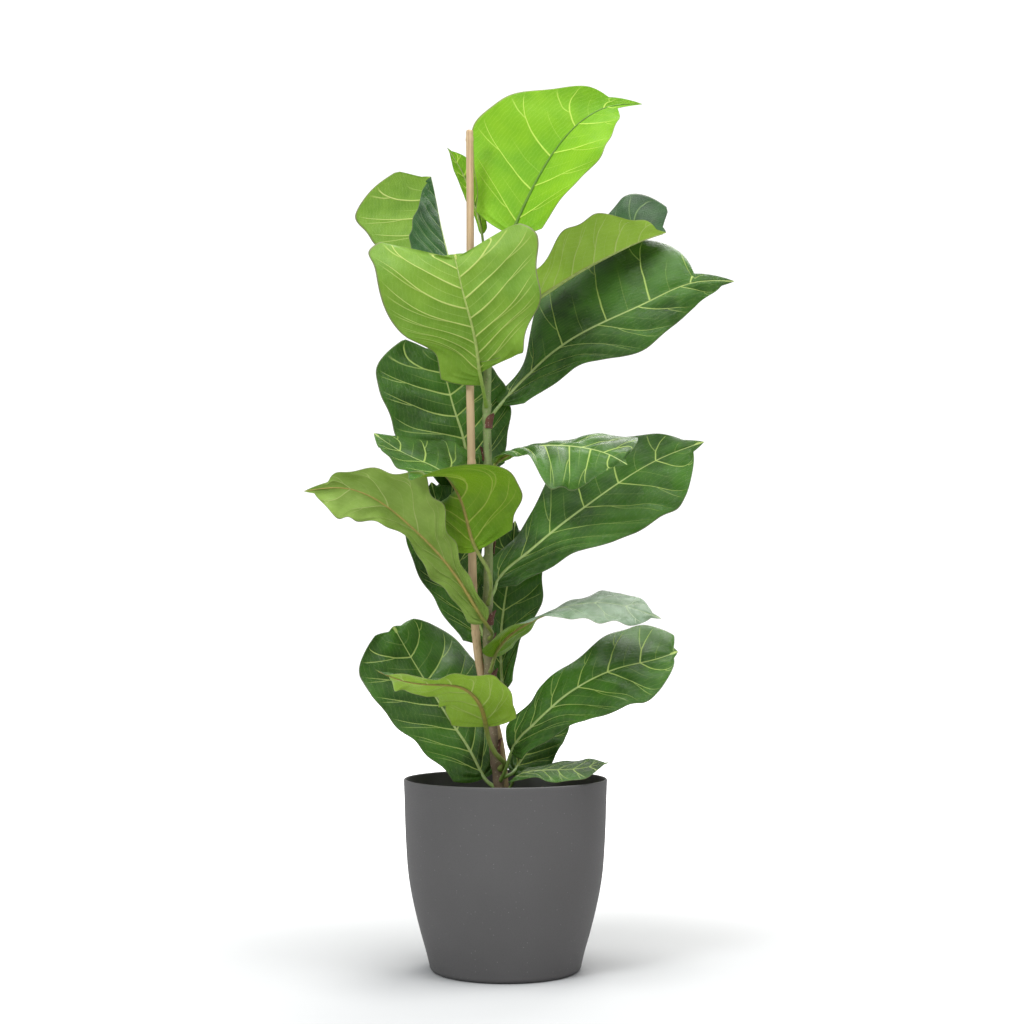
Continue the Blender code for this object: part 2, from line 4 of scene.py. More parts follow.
import bpy
import numpy as np
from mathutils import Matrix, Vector

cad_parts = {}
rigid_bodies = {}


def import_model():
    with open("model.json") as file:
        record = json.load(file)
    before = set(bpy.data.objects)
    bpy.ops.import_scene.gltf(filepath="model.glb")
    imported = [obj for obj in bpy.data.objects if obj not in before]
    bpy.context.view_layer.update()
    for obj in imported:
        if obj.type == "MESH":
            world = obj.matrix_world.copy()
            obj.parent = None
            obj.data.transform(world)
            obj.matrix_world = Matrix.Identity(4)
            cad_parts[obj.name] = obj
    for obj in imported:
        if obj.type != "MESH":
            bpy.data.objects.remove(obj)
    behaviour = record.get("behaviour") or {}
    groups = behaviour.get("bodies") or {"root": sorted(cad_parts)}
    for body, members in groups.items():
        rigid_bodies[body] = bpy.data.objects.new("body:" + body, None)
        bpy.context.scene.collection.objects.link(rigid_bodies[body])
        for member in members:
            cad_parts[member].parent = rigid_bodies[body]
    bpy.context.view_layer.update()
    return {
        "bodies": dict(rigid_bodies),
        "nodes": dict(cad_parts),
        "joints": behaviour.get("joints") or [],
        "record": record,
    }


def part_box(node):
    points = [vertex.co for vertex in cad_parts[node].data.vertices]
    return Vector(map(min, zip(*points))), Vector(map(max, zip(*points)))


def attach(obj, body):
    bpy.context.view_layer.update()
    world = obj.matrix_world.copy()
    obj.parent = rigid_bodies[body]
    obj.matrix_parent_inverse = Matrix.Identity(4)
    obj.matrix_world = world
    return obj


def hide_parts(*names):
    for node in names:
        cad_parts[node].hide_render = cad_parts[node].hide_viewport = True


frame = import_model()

scene = bpy.context.scene
millimetre = 0.001


# camera, floor and light

view = dict(eye=(0.008, -2.2, 0.43), pitch=3.385, lens=62.4)


def setCamera():
    lens = bpy.data.cameras.new("studioLens")
    lens.lens = view["lens"]
    lens.sensor_width = 36.0
    lens.clip_end = 60.0
    camera = bpy.data.objects.new("studioCamera", lens)
    camera.location = view["eye"]
    camera.rotation_euler = (radians(90.0 + view["pitch"]), 0.0, 0.0)
    scene.collection.objects.link(camera)
    scene.camera = camera


lamps = [
    dict(name="frontLeft", at=(-1.7, -2.1, 2.1), size=1.0, power=50.0, colour=(0.93, 0.98, 1.0)),
    dict(name="frontRight", at=(2.1, -1.5, 1.7), size=1.2, power=18.0, colour=(0.95, 0.98, 1.0)),
    dict(name="backTop", at=(0.5, 1.6, 2.2), size=1.2, power=26.0, colour=(1.0, 1.0, 0.97)),
]
lampAim = Vector((0.0, 0.0, 0.62))
overhead = dict(strength=2.9, spread=30.0, tilt=(-7.0, 3.0))
sky = dict(low=0.16, rise=0.6, power=1.2)


def setLights():
    for lamp in lamps:
        light = bpy.data.lights.new(lamp["name"], "AREA")
        light.shape = "DISK"
        light.size = lamp["size"]
        light.energy = lamp["power"]
        light.color = lamp["colour"]
        holder = bpy.data.objects.new(lamp["name"], light)
        holder.location = lamp["at"]
        holder.rotation_euler = (lampAim - holder.location).to_track_quat("-Z", "Y").to_euler()
        scene.collection.objects.link(holder)
    light = bpy.data.lights.new("overhead", "SUN")
    light.energy = overhead["strength"]
    light.angle = radians(overhead["spread"])
    holder = bpy.data.objects.new("overhead", light)
    holder.rotation_euler = (radians(-overhead["tilt"][0]), radians(overhead["tilt"][1]), 0.0)
    scene.collection.objects.link(holder)
    world = bpy.data.worlds.new("studioWorld")
    world.use_nodes = True
    tree = world.node_tree
    height = addNode(tree, "SeparateXYZ", {0: addNode(tree, "TexCoord").outputs["Generated"]}).outputs[2]
    height = sums(tree, "POWER", sums(tree, "MAXIMUM", height, 0.0), sky["power"])
    strength = sums(tree, "ADD", times(tree, height, sky["rise"]), sky["low"])
    tree.links.new(strength, tree.nodes["Background"].inputs["Strength"])
    tree.nodes["Background"].inputs["Color"].default_value = (0.96, 0.98, 1.0, 1.0)
    scene.world = world
    scene.view_settings.view_transform = "Standard"


# node helpers

def addNode(tree, kind, inputs=None, **settings):
    node = tree.nodes.new("ShaderNode" + kind)
    for key, value in settings.items():
        setattr(node, key, value)
    for key, value in (inputs or {}).items():
        if isinstance(value, bpy.types.NodeSocket):
            tree.links.new(value, node.inputs[key])
        else:
            node.inputs[key].default_value = value
    return node


def sums(tree, operation, first, second=0.0):
    return addNode(tree, "Math", {0: first, 1: second}, operation=operation).outputs[0]


def times(tree, first, second):
    return sums(tree, "MULTIPLY", first, second)


def blendColour(tree, share, *colours):
    first, second = [(*colour, 1.0) if isinstance(colour, tuple) else colour for colour in colours]
    return addNode(tree, "Mix", {0: share, 6: first, 7: second}, data_type="RGBA").outputs[2]


def step(tree, value, low, high, atLow=0.0, atHigh=1.0):
    inputs = {"Value": value, "From Min": low, "From Max": high, "To Min": atLow, "To Max": atHigh}
    return addNode(tree, "MapRange", inputs, interpolation_type="SMOOTHSTEP").outputs["Result"]


def noise(tree, place, scale, detail=3.0, roughness=0.55):
    inputs = {"Vector": place, "Scale": scale, "Detail": detail, "Roughness": roughness}
    return addNode(tree, "TexNoise", inputs).outputs["Fac"]


def streaks(tree, place, across, along):  # grain drawn out along the height
    drawn = addNode(tree, "Mapping", {"Vector": place, "Scale": (across, across, along)})
    return noise(tree, drawn.outputs[0], 1.0, 4.0)


def objectPlace(tree):
    return addNode(tree, "TexCoord").outputs["Object"]


def newFinish(name):
    made = bpy.data.materials.new(name)
    made.use_nodes = True
    return made, made.node_tree, made.node_tree.nodes["Principled BSDF"]


def dress(shader, tree, colour, roughness, height, strength, distance, **fixed):
    tree.links.new(colour, shader.inputs["Base Color"])
    tree.links.new(roughness, shader.inputs["Roughness"])
    bump = addNode(tree, "Bump", {"Height": height, "Strength": strength, "Distance": distance})
    tree.links.new(bump.outputs["Normal"], shader.inputs["Normal"])
    for key, value in fixed.items():
        shader.inputs[key.replace("_", " ")].default_value = value


# leaf finishes

def lineMask(tree, distance, width, inner, outer):  # 1 on a line and 0 beside it
    low, high = times(tree, width, inner), times(tree, width, outer)
    return step(tree, distance, low, high, 1.0, 0.0)


def veinGroup():
    group = bpy.data.node_groups.new("leafVeins", "ShaderNodeTree")
    for name in ("Main", "Small", "Net", "Rib", "Edge"):
        group.interface.new_socket(name, in_out="OUTPUT", socket_type="NodeSocketFloat")
    result = group.nodes.new("NodeGroupOutput")
    vein = addNode(group, "Attribute", attribute_name="veinPlace").outputs["Vector"]
    vein = addNode(group, "SeparateXYZ", {0: vein}).outputs
    blade = addNode(group, "Attribute", attribute_name="bladePlace").outputs["Vector"]
    blade = addNode(group, "SeparateXYZ", {0: blade}).outputs
    phase, across, spacing = vein[0], vein[1], vein[2]
    q = sums(group, "ABSOLUTE", blade[1])  # 0 on the midrib, 1 at the margin
    wobble = addNode(group, "CombineXYZ", {0: phase, 1: across, 2: blade[1]}).outputs[0]
    drift = times(group, sums(group, "SUBTRACT", noise(group, wobble, 2.2, 2.0), 0.5), 0.09)
    phase = sums(group, "ADD", phase, drift)
    near = sums(group, "PINGPONG", phase, 0.5)
    metres = times(group, near, spacing)
    width = step(group, q, 0.0, 1.0, 0.00115, 0.0004)
    fade = step(group, q, 0.8, 0.985, 1.0, 0.0)
    main = lineMask(group, metres, width, 0.45, 1.3)
    main = times(group, main, times(group, fade, step(group, phase, -0.6, -0.35)))
    # forks leave each main vein part way out
    whole = sums(group, "FLOOR", sums(group, "ADD", phase, 0.5))
    part = sums(group, "SUBTRACT", phase, whole)
    luck = addNode(group, "TexWhiteNoise", {"W": sums(group, "ADD", whole, sums(group, "SIGN", blade[1]))},
                   noise_dimensions="1D")
    start = step(group, luck.outputs["Value"], 0.0, 1.0, 0.3, 0.62)
    beyond = sums(group, "MAXIMUM", sums(group, "SUBTRACT", q, start), 0.0)
    fork = times(group, sums(group, "POWER", beyond, 0.8), -0.62)
    forkGap = times(group, sums(group, "ABSOLUTE", sums(group, "SUBTRACT", part, fork)), spacing)
    forks = step(group, forkGap, 0.0003, 0.001, 1.0, 0.0)
    forks = times(group, forks, sums(group, "GREATER_THAN", beyond, 0.005))
    faint = times(group, fade, step(group, phase, -0.6, -0.35, 0.0, 0.6))
    forks = times(group, forks, faint)
    # a weaker vein runs half way out between two main ones
    between = times(group, sums(group, "SUBTRACT", 0.5, near), spacing)
    weak = step(group, between, 0.0002, 0.0007, 0.28, 0.0)
    weak = times(group, weak, step(group, q, 0.35, 0.6, 1.0, 0.0))
    group.links.new(sums(group, "MAXIMUM", main, sums(group, "MAXIMUM", forks, weak)), result.inputs["Main"])
    # ladder of small veins, then the finest net
    ladder = sums(group, "ADD", sums(group, "DIVIDE", across, 0.0046), times(group, part, 0.9))
    ladder = sums(group, "ADD", ladder, times(group, noise(group, wobble, 6.0, 2.0), 1.4))
    rung = sums(group, "PINGPONG", ladder, 0.5)
    group.links.new(step(group, rung, 0.03, 0.13, 1.0, 0.0), result.inputs["Small"])
    flat = addNode(group, "CombineXYZ", {0: times(group, phase, spacing), 1: across, 2: blade[1]})
    cells = addNode(group, "TexVoronoi", {0: flat.outputs[0], "Scale": 420.0}, feature="DISTANCE_TO_EDGE")
    group.links.new(step(group, cells.outputs["Distance"], 0.02, 0.16, 1.0, 0.0), result.inputs["Net"])
    ribWidth = step(group, blade[0], 0.0, 1.0, 0.002, 0.0006)
    group.links.new(lineMask(group, across, ribWidth, 0.6, 1.25), result.inputs["Rib"])
    group.links.new(step(group, q, 0.975, 0.992), result.inputs["Edge"])
    return group


leafVeins = veinGroup()


usualTop = dict(cloud=0.3, net=0.06, small=0.06, ridge=-0.9)
usualUnder = dict(cloud=0.3, net=0.08, small=0.08, ridge=0.9, relief=0.5, gloss=(0.42, 0.56))


def bladeFinish(name, usual, **own):
    tone = {**usual, **own}
    made, tree, shader = newFinish(name)
    veins = addNode(tree, "Group", node_tree=leafVeins).outputs
    place = objectPlace(tree)
    patch = step(tree, noise(tree, place, 16.0, 3.0), 0.32, 0.68)
    colour = blendColour(tree, patch, tone["deep"], tone["fresh"])
    cloud = step(tree, noise(tree, place, 60.0, 4.0), 0.3, 0.75)
    colour = blendColour(tree, times(tree, cloud, tone["cloud"]), colour, tone["light"])
    marks = (("Net", tone["net"], "vein"), ("Small", tone["small"], "vein"), ("Main", tone["main"], "vein"),
             ("Rib", tone["main"], "rib"), ("Edge", 0.7, "edge"))
    for mark, share, paint in marks:
        colour = blendColour(tree, times(tree, veins[mark], share), colour, tone[paint])
    lines = sums(tree, "MAXIMUM", veins["Main"], veins["Rib"])
    height = sums(tree, "ADD", times(tree, lines, tone["ridge"]),
                  times(tree, veins["Small"], tone["ridge"] * 0.3))
    height = sums(tree, "ADD", height, times(tree, veins["Net"], tone["ridge"] * 0.12))
    height = sums(tree, "ADD", height, times(tree, noise(tree, place, 900.0, 2.0), 0.05))
    rough = step(tree, noise(tree, place, 34.0, 3.0), 0.3, 0.75, tone["gloss"][0], tone["gloss"][1])
    rough = sums(tree, "ADD", rough, times(tree, lines, 0.08))
    dress(shader, tree, colour, rough, height, tone["relief"], 0.0012, Specular_IOR_Level=tone["shine"])
    return made


darkTop = bladeFinish(
    "leafTopDark", usualTop, deep=(0.01, 0.05, 0.003), fresh=(0.036, 0.132, 0.007), light=(0.08, 0.2, 0.024),
    vein=(0.44, 0.56, 0.14), rib=(0.44, 0.54, 0.16), edge=(0.14, 0.17, 0.08), main=0.86, relief=0.55,
    gloss=(0.17, 0.31), shine=0.22)
# painted shade: a darker, duller copy of the dark leaf top, for leaf tops that lie in shade
paintedShadeTop = bladeFinish(
    "leafTopPaintedShade", usualTop, deep=(0.006, 0.04, 0.008), fresh=(0.026, 0.1, 0.018), light=(0.06, 0.16, 0.05),
    vein=(0.26, 0.38, 0.14), rib=(0.36, 0.46, 0.16), edge=(0.1, 0.13, 0.07), cloud=0.4, net=0.04, small=0.04,
    main=0.6, relief=0.5, gloss=(0.34, 0.5), shine=0.06)
# painted sheen: a whitish copy of the dark leaf top that stands in for a reflected sheen
paintedSheenTop = bladeFinish(
    "leafTopPaintedSheen", usualTop, deep=(0.075, 0.14, 0.06), fresh=(0.15, 0.24, 0.13), light=(0.3, 0.4, 0.29),
    vein=(0.5, 0.6, 0.34), rib=(0.44, 0.52, 0.26), edge=(0.3, 0.33, 0.24), cloud=0.6, main=0.5, relief=0.6,
    gloss=(0.2, 0.34), shine=0.5)
paleUnder = bladeFinish(
    "leafUnderPale", usualUnder, deep=(0.105, 0.235, 0.008), fresh=(0.16, 0.305, 0.016),
    light=(0.225, 0.38, 0.045), vein=(0.56, 0.62, 0.18), rib=(0.36, 0.36, 0.08), edge=(0.22, 0.19, 0.12),
    net=0.06, small=0.05, main=0.7, shine=0.26)
greyUnder = bladeFinish(
    "leafUnderGrey", usualUnder, deep=(0.155, 0.26, 0.03), fresh=(0.215, 0.33, 0.055),
    light=(0.27, 0.39, 0.085), vein=(0.48, 0.52, 0.2), rib=(0.36, 0.3, 0.08), edge=(0.22, 0.19, 0.13),
    net=0.06, small=0.05, main=0.5, gloss=(0.45, 0.58), shine=0.22)
freshUnder = bladeFinish(
    "leafUnderFresh", usualUnder, deep=(0.115, 0.265, 0.003), fresh=(0.18, 0.36, 0.006),
    light=(0.24, 0.43, 0.018), vein=(0.54, 0.62, 0.13), rib=(0.33, 0.3, 0.06), edge=(0.2, 0.17, 0.08),
    main=0.65, shine=0.24)
# painted light: a brighter copy of the pale underside, standing in for light from below and light shining
# through the leaf
paintedLightUnder = bladeFinish(
    "leafUnderPaintedLight", usualUnder, deep=(0.24, 0.43, 0.022), fresh=(0.31, 0.52, 0.04),
    light=(0.39, 0.6, 0.08), vein=(0.62, 0.7, 0.26), rib=(0.42, 0.36, 0.1), edge=(0.24, 0.2, 0.12),
    main=0.55, shine=0.24)
# the young leaves' own lighter green, brightened further by painted light shining through from behind
backlitBrightUnder = bladeFinish(
    "leafUnderBrightBacklit", usualUnder, deep=(0.125, 0.34, 0.001), fresh=(0.19, 0.43, 0.003),
    light=(0.26, 0.5, 0.01), vein=(0.58, 0.76, 0.12), rib=(0.1, 0.22, 0.02), edge=(0.26, 0.24, 0.1),
    cloud=0.25, small=0.1, main=0.8, gloss=(0.42, 0.55), shine=0.2)


def ribFinish(name, top, under, foot):
    made, tree, shader = newFinish(name)
    blade = addNode(tree, "Attribute", attribute_name="bladePlace").outputs["Vector"]
    blade = addNode(tree, "SeparateXYZ", {0: blade}).outputs
    place = objectPlace(tree)
    colour = blendColour(tree, step(tree, blade[2], -0.1, 0.4), under, top)
    colour = blendColour(tree, step(tree, blade[0], -0.15, 0.12), foot, colour)
    grain = noise(tree, place, 220.0, 3.0)
    colour = blendColour(tree, step(tree, grain, 0.35, 0.75, 0.0, 0.4), colour, (0.1, 0.13, 0.03))
    rough = step(tree, grain, 0.3, 0.7, 0.42, 0.6)
    dress(shader, tree, colour, rough, grain, 0.25, 0.0006, Coat_Weight=0.1)
    return made


darkRib = ribFinish("ribOfDarkLeaf", (0.42, 0.54, 0.2), (0.3, 0.4, 0.1), (0.22, 0.36, 0.07))
paleRib = ribFinish("ribOfPaleLeaf", (0.42, 0.54, 0.2), (0.34, 0.44, 0.1), (0.24, 0.38, 0.06))
brownRib = ribFinish("ribOfOldLeaf", (0.42, 0.54, 0.2), (0.33, 0.25, 0.045), (0.26, 0.34, 0.07))
deepRib = ribFinish("ribOfCrownLeaf", (0.42, 0.54, 0.2), (0.095, 0.23, 0.004), (0.13, 0.27, 0.01))


# smooth lines through points

def ease(x):
    x = np.clip(x, 0.0, 1.0)
    return x * x * (3.0 - 2.0 * x)


def unit(vectors):
    return vectors / np.linalg.norm(vectors, axis=-1, keepdims=True)


def knotsOf(points):
    steps = np.linalg.norm(np.diff(points, axis=0), axis=1)
    return np.concatenate([[0.0], np.cumsum(steps)])


def lineAt(knots, values, where):
    values = np.asarray(values, float)
    count, span = len(knots), np.diff(knots)
    matrix, right = np.eye(count), np.zeros_like(values)
    for i in range(1, count - 1):
        matrix[i, i - 1:i + 2] = span[i - 1], 2.0 * (span[i - 1] + span[i]), span[i]
        right[i] = 6.0 * ((values[i + 1] - values[i]) / span[i] - (values[i] - values[i - 1]) / span[i - 1])
    bend = np.linalg.solve(matrix, right)
    i = np.clip(np.searchsorted(knots, where, side="right") - 1, 0, count - 2)
    width = span[i][:, None]
    b = (where - knots[i])[:, None] / width
    a = 1.0 - b
    curve = (a**3 - a) * bend[i] + (b**3 - b) * bend[i + 1]
    return a * values[i] + b * values[i + 1] + curve * width**2 / 6.0


def spreadOver(values, where):  # values at equal steps, read at places from 0 to 1
    values = np.atleast_1d(np.asarray(values, float))
    if len(values) == 1:
        values = np.repeat(values, 2, axis=0)
    flat = values.ndim == 1
    read = lineAt(np.linspace(0.0, 1.0, len(values)), values[:, None] if flat else values, where)
    return read[:, 0] if flat else read


def meshPiece(name, points, faces, finishes, facing=None, fields=None):
    mesh = bpy.data.meshes.new(name)
    mesh.from_pydata(points.tolist(), [], faces.tolist() if isinstance(faces, np.ndarray) else faces)
    for finish in finishes:
        mesh.materials.append(finish)
    if facing is not None:
        mesh.polygons.foreach_set("material_index", facing)
    for key, values in (fields or {}).items():
        field = mesh.attributes.new(key, "FLOAT_VECTOR", "POINT")
        field.data.foreach_set("vector", values.astype(np.float32).ravel())
    mesh.shade_smooth()
    piece = bpy.data.objects.new(name, mesh)
    scene.collection.objects.link(piece)
    return piece


def settle(piece, slot, *nodes):
    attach(piece, "root")
    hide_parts(*nodes)


def gridFaces(rows, columns, start=0, closed=False):
    i, k = np.meshgrid(np.arange(rows - 1), np.arange(columns if closed else columns - 1), indexing="ij")
    a = (i * columns + k).ravel() + start
    b = (i * columns + (k + 1) % columns).ravel() + start
    return np.stack([a, b, b + columns, a + columns], axis=1)


# stem and cane

stem = dict(
    line=[(-0.006, 0.000, 0.16), (-0.006, 0.000, 0.205), (-0.014, 0.000, 0.266), (-0.018, 0.002, 0.328),
          (-0.022, 0.003, 0.402), (-0.021, 0.002, 0.501), (-0.022, 0.000, 0.612), (-0.023, -0.002, 0.719),
          (-0.018, -0.002, 0.813), (-0.012, -0.002, 0.868)],
    foot=0.0064, top=0.0046)
cane = dict(
    line=[(-0.001, 0.0135, 0.15), (-0.001, 0.0135, 0.205), (-0.011, 0.016, 0.29), (-0.028, 0.012, 0.35),
          (-0.036, 0.001, 0.402), (-0.04, -0.01, 0.465), (-0.042, -0.014, 0.611), (-0.044, -0.014, 0.713),
          (-0.044, -0.014, 0.899), (-0.045, -0.014, 1.037)],
    foot=0.0054, top=0.0046)


def stemAt(height):
    points = np.array(stem["line"])
    knots = knotsOf(points)
    line = lineAt(knots, points, np.linspace(0.0, knots[-1], 400))
    i = int(np.argmin(np.abs(line[:, 2] - height)))
    return line[i], stem["foot"] + (stem["top"] - stem["foot"]) * i / 399


def tube(line, radii, sides):
    along = unit(np.gradient(line, axis=0))
    side = unit(np.cross(along, np.array([0.0, 1.0, 0.0])))
    front = np.cross(side, along)
    turn = np.linspace(0.0, 2.0 * pi, sides, endpoint=False)
    ring = np.cos(turn)[None, :, None] * side[:, None] + np.sin(turn)[None, :, None] * front[:, None]
    radii = np.asarray(radii, float)
    if radii.ndim == 1:
        radii = radii[:, None] * np.ones(sides)
    return line[:, None] + radii[:, :, None] * ring


def closedTube(rings):
    rows, sides = rings.shape[:2]
    points = rings.reshape(-1, 3)
    faces = gridFaces(rows, sides, closed=True)[:, ::-1].tolist()
    faces.append(list(range(sides)))
    faces.append(list(range((rows - 1) * sides, rows * sides))[::-1])
    return points, faces


# leaves

usualVeins = (0.02, 0.14, 0.29, 0.46, 0.63, 0.8)
usualLeaf = dict(  # where a leaf's own dictionary says nothing; ears and reach in metres, the rest in mm
    lift=((0,), (0,)), curl=((-6,), (-6,)), tail=0.05, blunt=0.22, ears=0.004, reach=(0.0, 0.0), bow=1.3,
    notch=2.5, lean=0.3, quilt=3.0, drift=2.6, wave=(3.0, 3.5, 0.0, 0.0), frill=(0.02, 5.0), bumpsLeft=(),
    bumpsRight=(), veinsLeft=usualVeins, veinsRight=usualVeins, stalkSize=2.3, upper=darkTop, under=paleUnder,
    ribFinish=darkRib)
bladeMesh = dict(rows=132, columns=34, thickness=0.00034, ridge=0.0007, ridgeWidth=0.0017)
ribMesh = dict(rows=90, sides=12, reach=0.985, sunk=0.62, taper=0.8)


def sided(value, side):  # one value for both halves, or a pair for left and right
    return value[side] if isinstance(value, tuple) else value


def sideWidth(leaf, side, u):
    tail = sided(leaf["tail"], side)
    blunt = sided(leaf["blunt"], side)
    place = np.clip(u / (1.0 - tail), 0.0, 1.0)
    body = spreadOver(leaf[("left", "right")[side]], place) * millimetre
    size, count = leaf["frill"]
    body = body * (1.0 + size * np.sin(2.0 * pi * (count * u + 0.37 * side)) * ease(4.0 * u))
    for where, size, spread in leaf[("bumpsLeft", "bumpsRight")[side]]:
        body = body + size * millimetre * np.exp(-(((u - where) / spread) ** 2))
    start = np.sqrt(np.clip(place / 0.05, 0.0, 1.0))
    end = np.sqrt(np.clip(1.0 - np.clip((place - 1.0 + blunt) / blunt, 0.0, 1.0) ** 2, 0.0, 1.0))
    point = 0.2 * body.max() * np.clip((1.0 - u) / (2.0 * tail), 0.0, 1.0) ** 0.8  # the drawn-out tip
    point = point * ease((u - 1.0 + 3.0 * tail) / tail)
    return np.maximum(np.maximum(body * start * end, point), 0.0005)


def frameAt(leaf, knots, points, at, share):  # centre line, and the ways along, up and right
    small = 1e-4
    centre = lineAt(knots, points, at)
    ahead = lineAt(knots, points, np.clip(at + small, 0.0, knots[-1]))
    behind = lineAt(knots, points, np.clip(at - small, 0.0, knots[-1]))
    along = unit(ahead - behind)
    up = spreadOver(np.atleast_2d(leaf["top"]), share)
    up = unit(up - (up * along).sum(axis=1, keepdims=True) * along)
    return centre, along, up, np.cross(along, up)


def veinLayout(leaf, side, u, q, length):  # the count of side veins up to each point, and their gap there
    veins = leaf[("veinsLeft", "veinsRight")[side]]
    shift = sided(leaf["lean"], side) * (0.55 * q + 0.45 * q**2)[None, :]
    cut = u[:, None] - shift * (1.0 - 0.7 * u[:, None] ** 2)
    edges = np.array([*(veins[0] - 0.15 * np.arange(6, 0, -1)), *veins, veins[-1] + 0.16])
    phase = np.interp(cut, edges, np.arange(-6, len(veins) + 1))
    gap = np.interp(cut, (edges[1:] + edges[:-1]) / 2.0, np.diff(edges)) * length
    return phase, gap


def bladeHalf(leaf, side, u, q, frame, length, luck):
    centre, along, up, right = frame
    wide = sideWidth(leaf, side, u)
    share = wide / wide.max()
    lift = radians(1.0) * spreadOver(leaf["lift"][side], u)[:, None]
    curl = radians(1.0) * spreadOver(leaf["curl"][side], u)[:, None]
    slope = lift + curl * q
    out = (np.sin(slope) - np.sin(lift)) / curl * wide[:, None]
    rise = (np.cos(lift) - np.cos(slope)) / curl * wide[:, None]
    phase, gap = veinLayout(leaf, side, u, q, length)
    # the blade swells between veins, waves at its margin and drifts a little everywhere
    between = np.abs(np.sin(pi * phase)) ** 0.9
    soft = (1.0 - np.exp(-((q / 0.1) ** 2)))[None, :]
    swell = soft * (1.0 - 0.8 * q**3)[None, :] * ease(3 * share)[:, None]
    quilt = leaf["quilt"] * millimetre * between * swell
    size, count, *starts = leaf["wave"]
    turn = 2.0 * pi * (count * u + starts[side])
    ruffle = size * millimetre * (q**2)[None, :] * np.sin(turn)[:, None] * ease(2.0 * share)[:, None]
    drift = np.zeros_like(phase)
    for k in range(5):
        a, b = luck.uniform(3.0, 13.0), luck.uniform(2.0, 8.0)
        drift += np.sin(a * u[:, None] * 2.2 + b * q[None, :] + luck.uniform(0.0, 2.0 * pi)) / 5.0
    drift *= leaf["drift"] * millimetre * soft * q[None, :] ** 0.6 * ease(3 * share)[:, None]
    lifted = rise + quilt + ruffle + drift
    # lobes that reach past the tip, and ears beside the stalk
    lobe = ease((u - 0.4) / 0.6) * np.minimum(1.0, leaf["notch"] * share)
    forward = leaf["reach"][side] * q[None, :] ** sided(leaf["bow"], side) * lobe[:, None]
    forward = forward - 2.0 * sided(leaf["ears"], side) * q[None, :]**1.5 * np.exp(-((u / 0.1) ** 2))[:, None]
    hand = (2 * side - 1) * right
    surface = centre[:, None] + out[..., None] * hand[:, None] + lifted[..., None] * up[:, None]
    surface = surface + forward[..., None] * along[:, None]
    normal = np.cos(slope)[..., None] * up[:, None] - np.sin(slope)[..., None] * hand[:, None]
    vein = np.stack([phase, q[None, :] * wide[:, None], gap], axis=-1)
    blade = np.stack([u[:, None] + 0.0 * q, (2 * side - 1) * q[None, :] + 0.0 * u[:, None]], axis=-1)
    return surface, normal, vein, blade


def rimFaces(rows, columns, count):  # closes the gap between the top and the underside
    faces = []
    for i in range(rows - 1):
        a, b = i * columns, (i + 1) * columns
        faces.append((a, b, b + count, a + count))
        a, b = a + columns - 1, b + columns - 1
        faces.append((b, a, a + count, b + count))
    for k in range(columns - 1):
        faces.append((k + 1, k, k + count, k + 1 + count))
        a = (rows - 1) * columns + k
        faces.append((a, a + 1, a + 1 + count, a + count))
    return faces


def growRib(leaf, knots, points, bladeStart, length):  # the stalk runs on under the blade as its midrib
    rows, sides = ribMesh["rows"], ribMesh["sides"]
    at = knots[-1] * np.linspace(0.0, ribMesh["reach"], rows)
    share = np.clip((at - bladeStart) / length, 0.0, 1.0)
    centre, along, up, right = frameAt(leaf, knots, points, at, share)
    swelling = 1.0 + 0.35 * np.exp(-((at / 0.006) ** 2))
    radius = leaf["stalkSize"] * millimetre * (1.0 - ribMesh["taper"] * share**0.8) * swelling
    sink = (ribMesh["sunk"] * radius) * ease((at - bladeStart + 0.01) / 0.02)
    turn = np.linspace(0.0, 2.0 * pi, sides, endpoint=False)
    ring = np.cos(turn)[None, :, None] * right[:, None] + np.sin(turn)[None, :, None] * up[:, None]
    rings = (centre - sink[:, None] * up)[:, None] + radius[:, None, None] * ring
    place = np.stack([np.repeat(((at - bladeStart) / length)[:, None], sides, 1), 0.0 * rings[..., 0],
                      np.repeat(np.sin(turn)[None, :], rows, 0)], axis=-1)
    return rings, place.reshape(-1, 3)


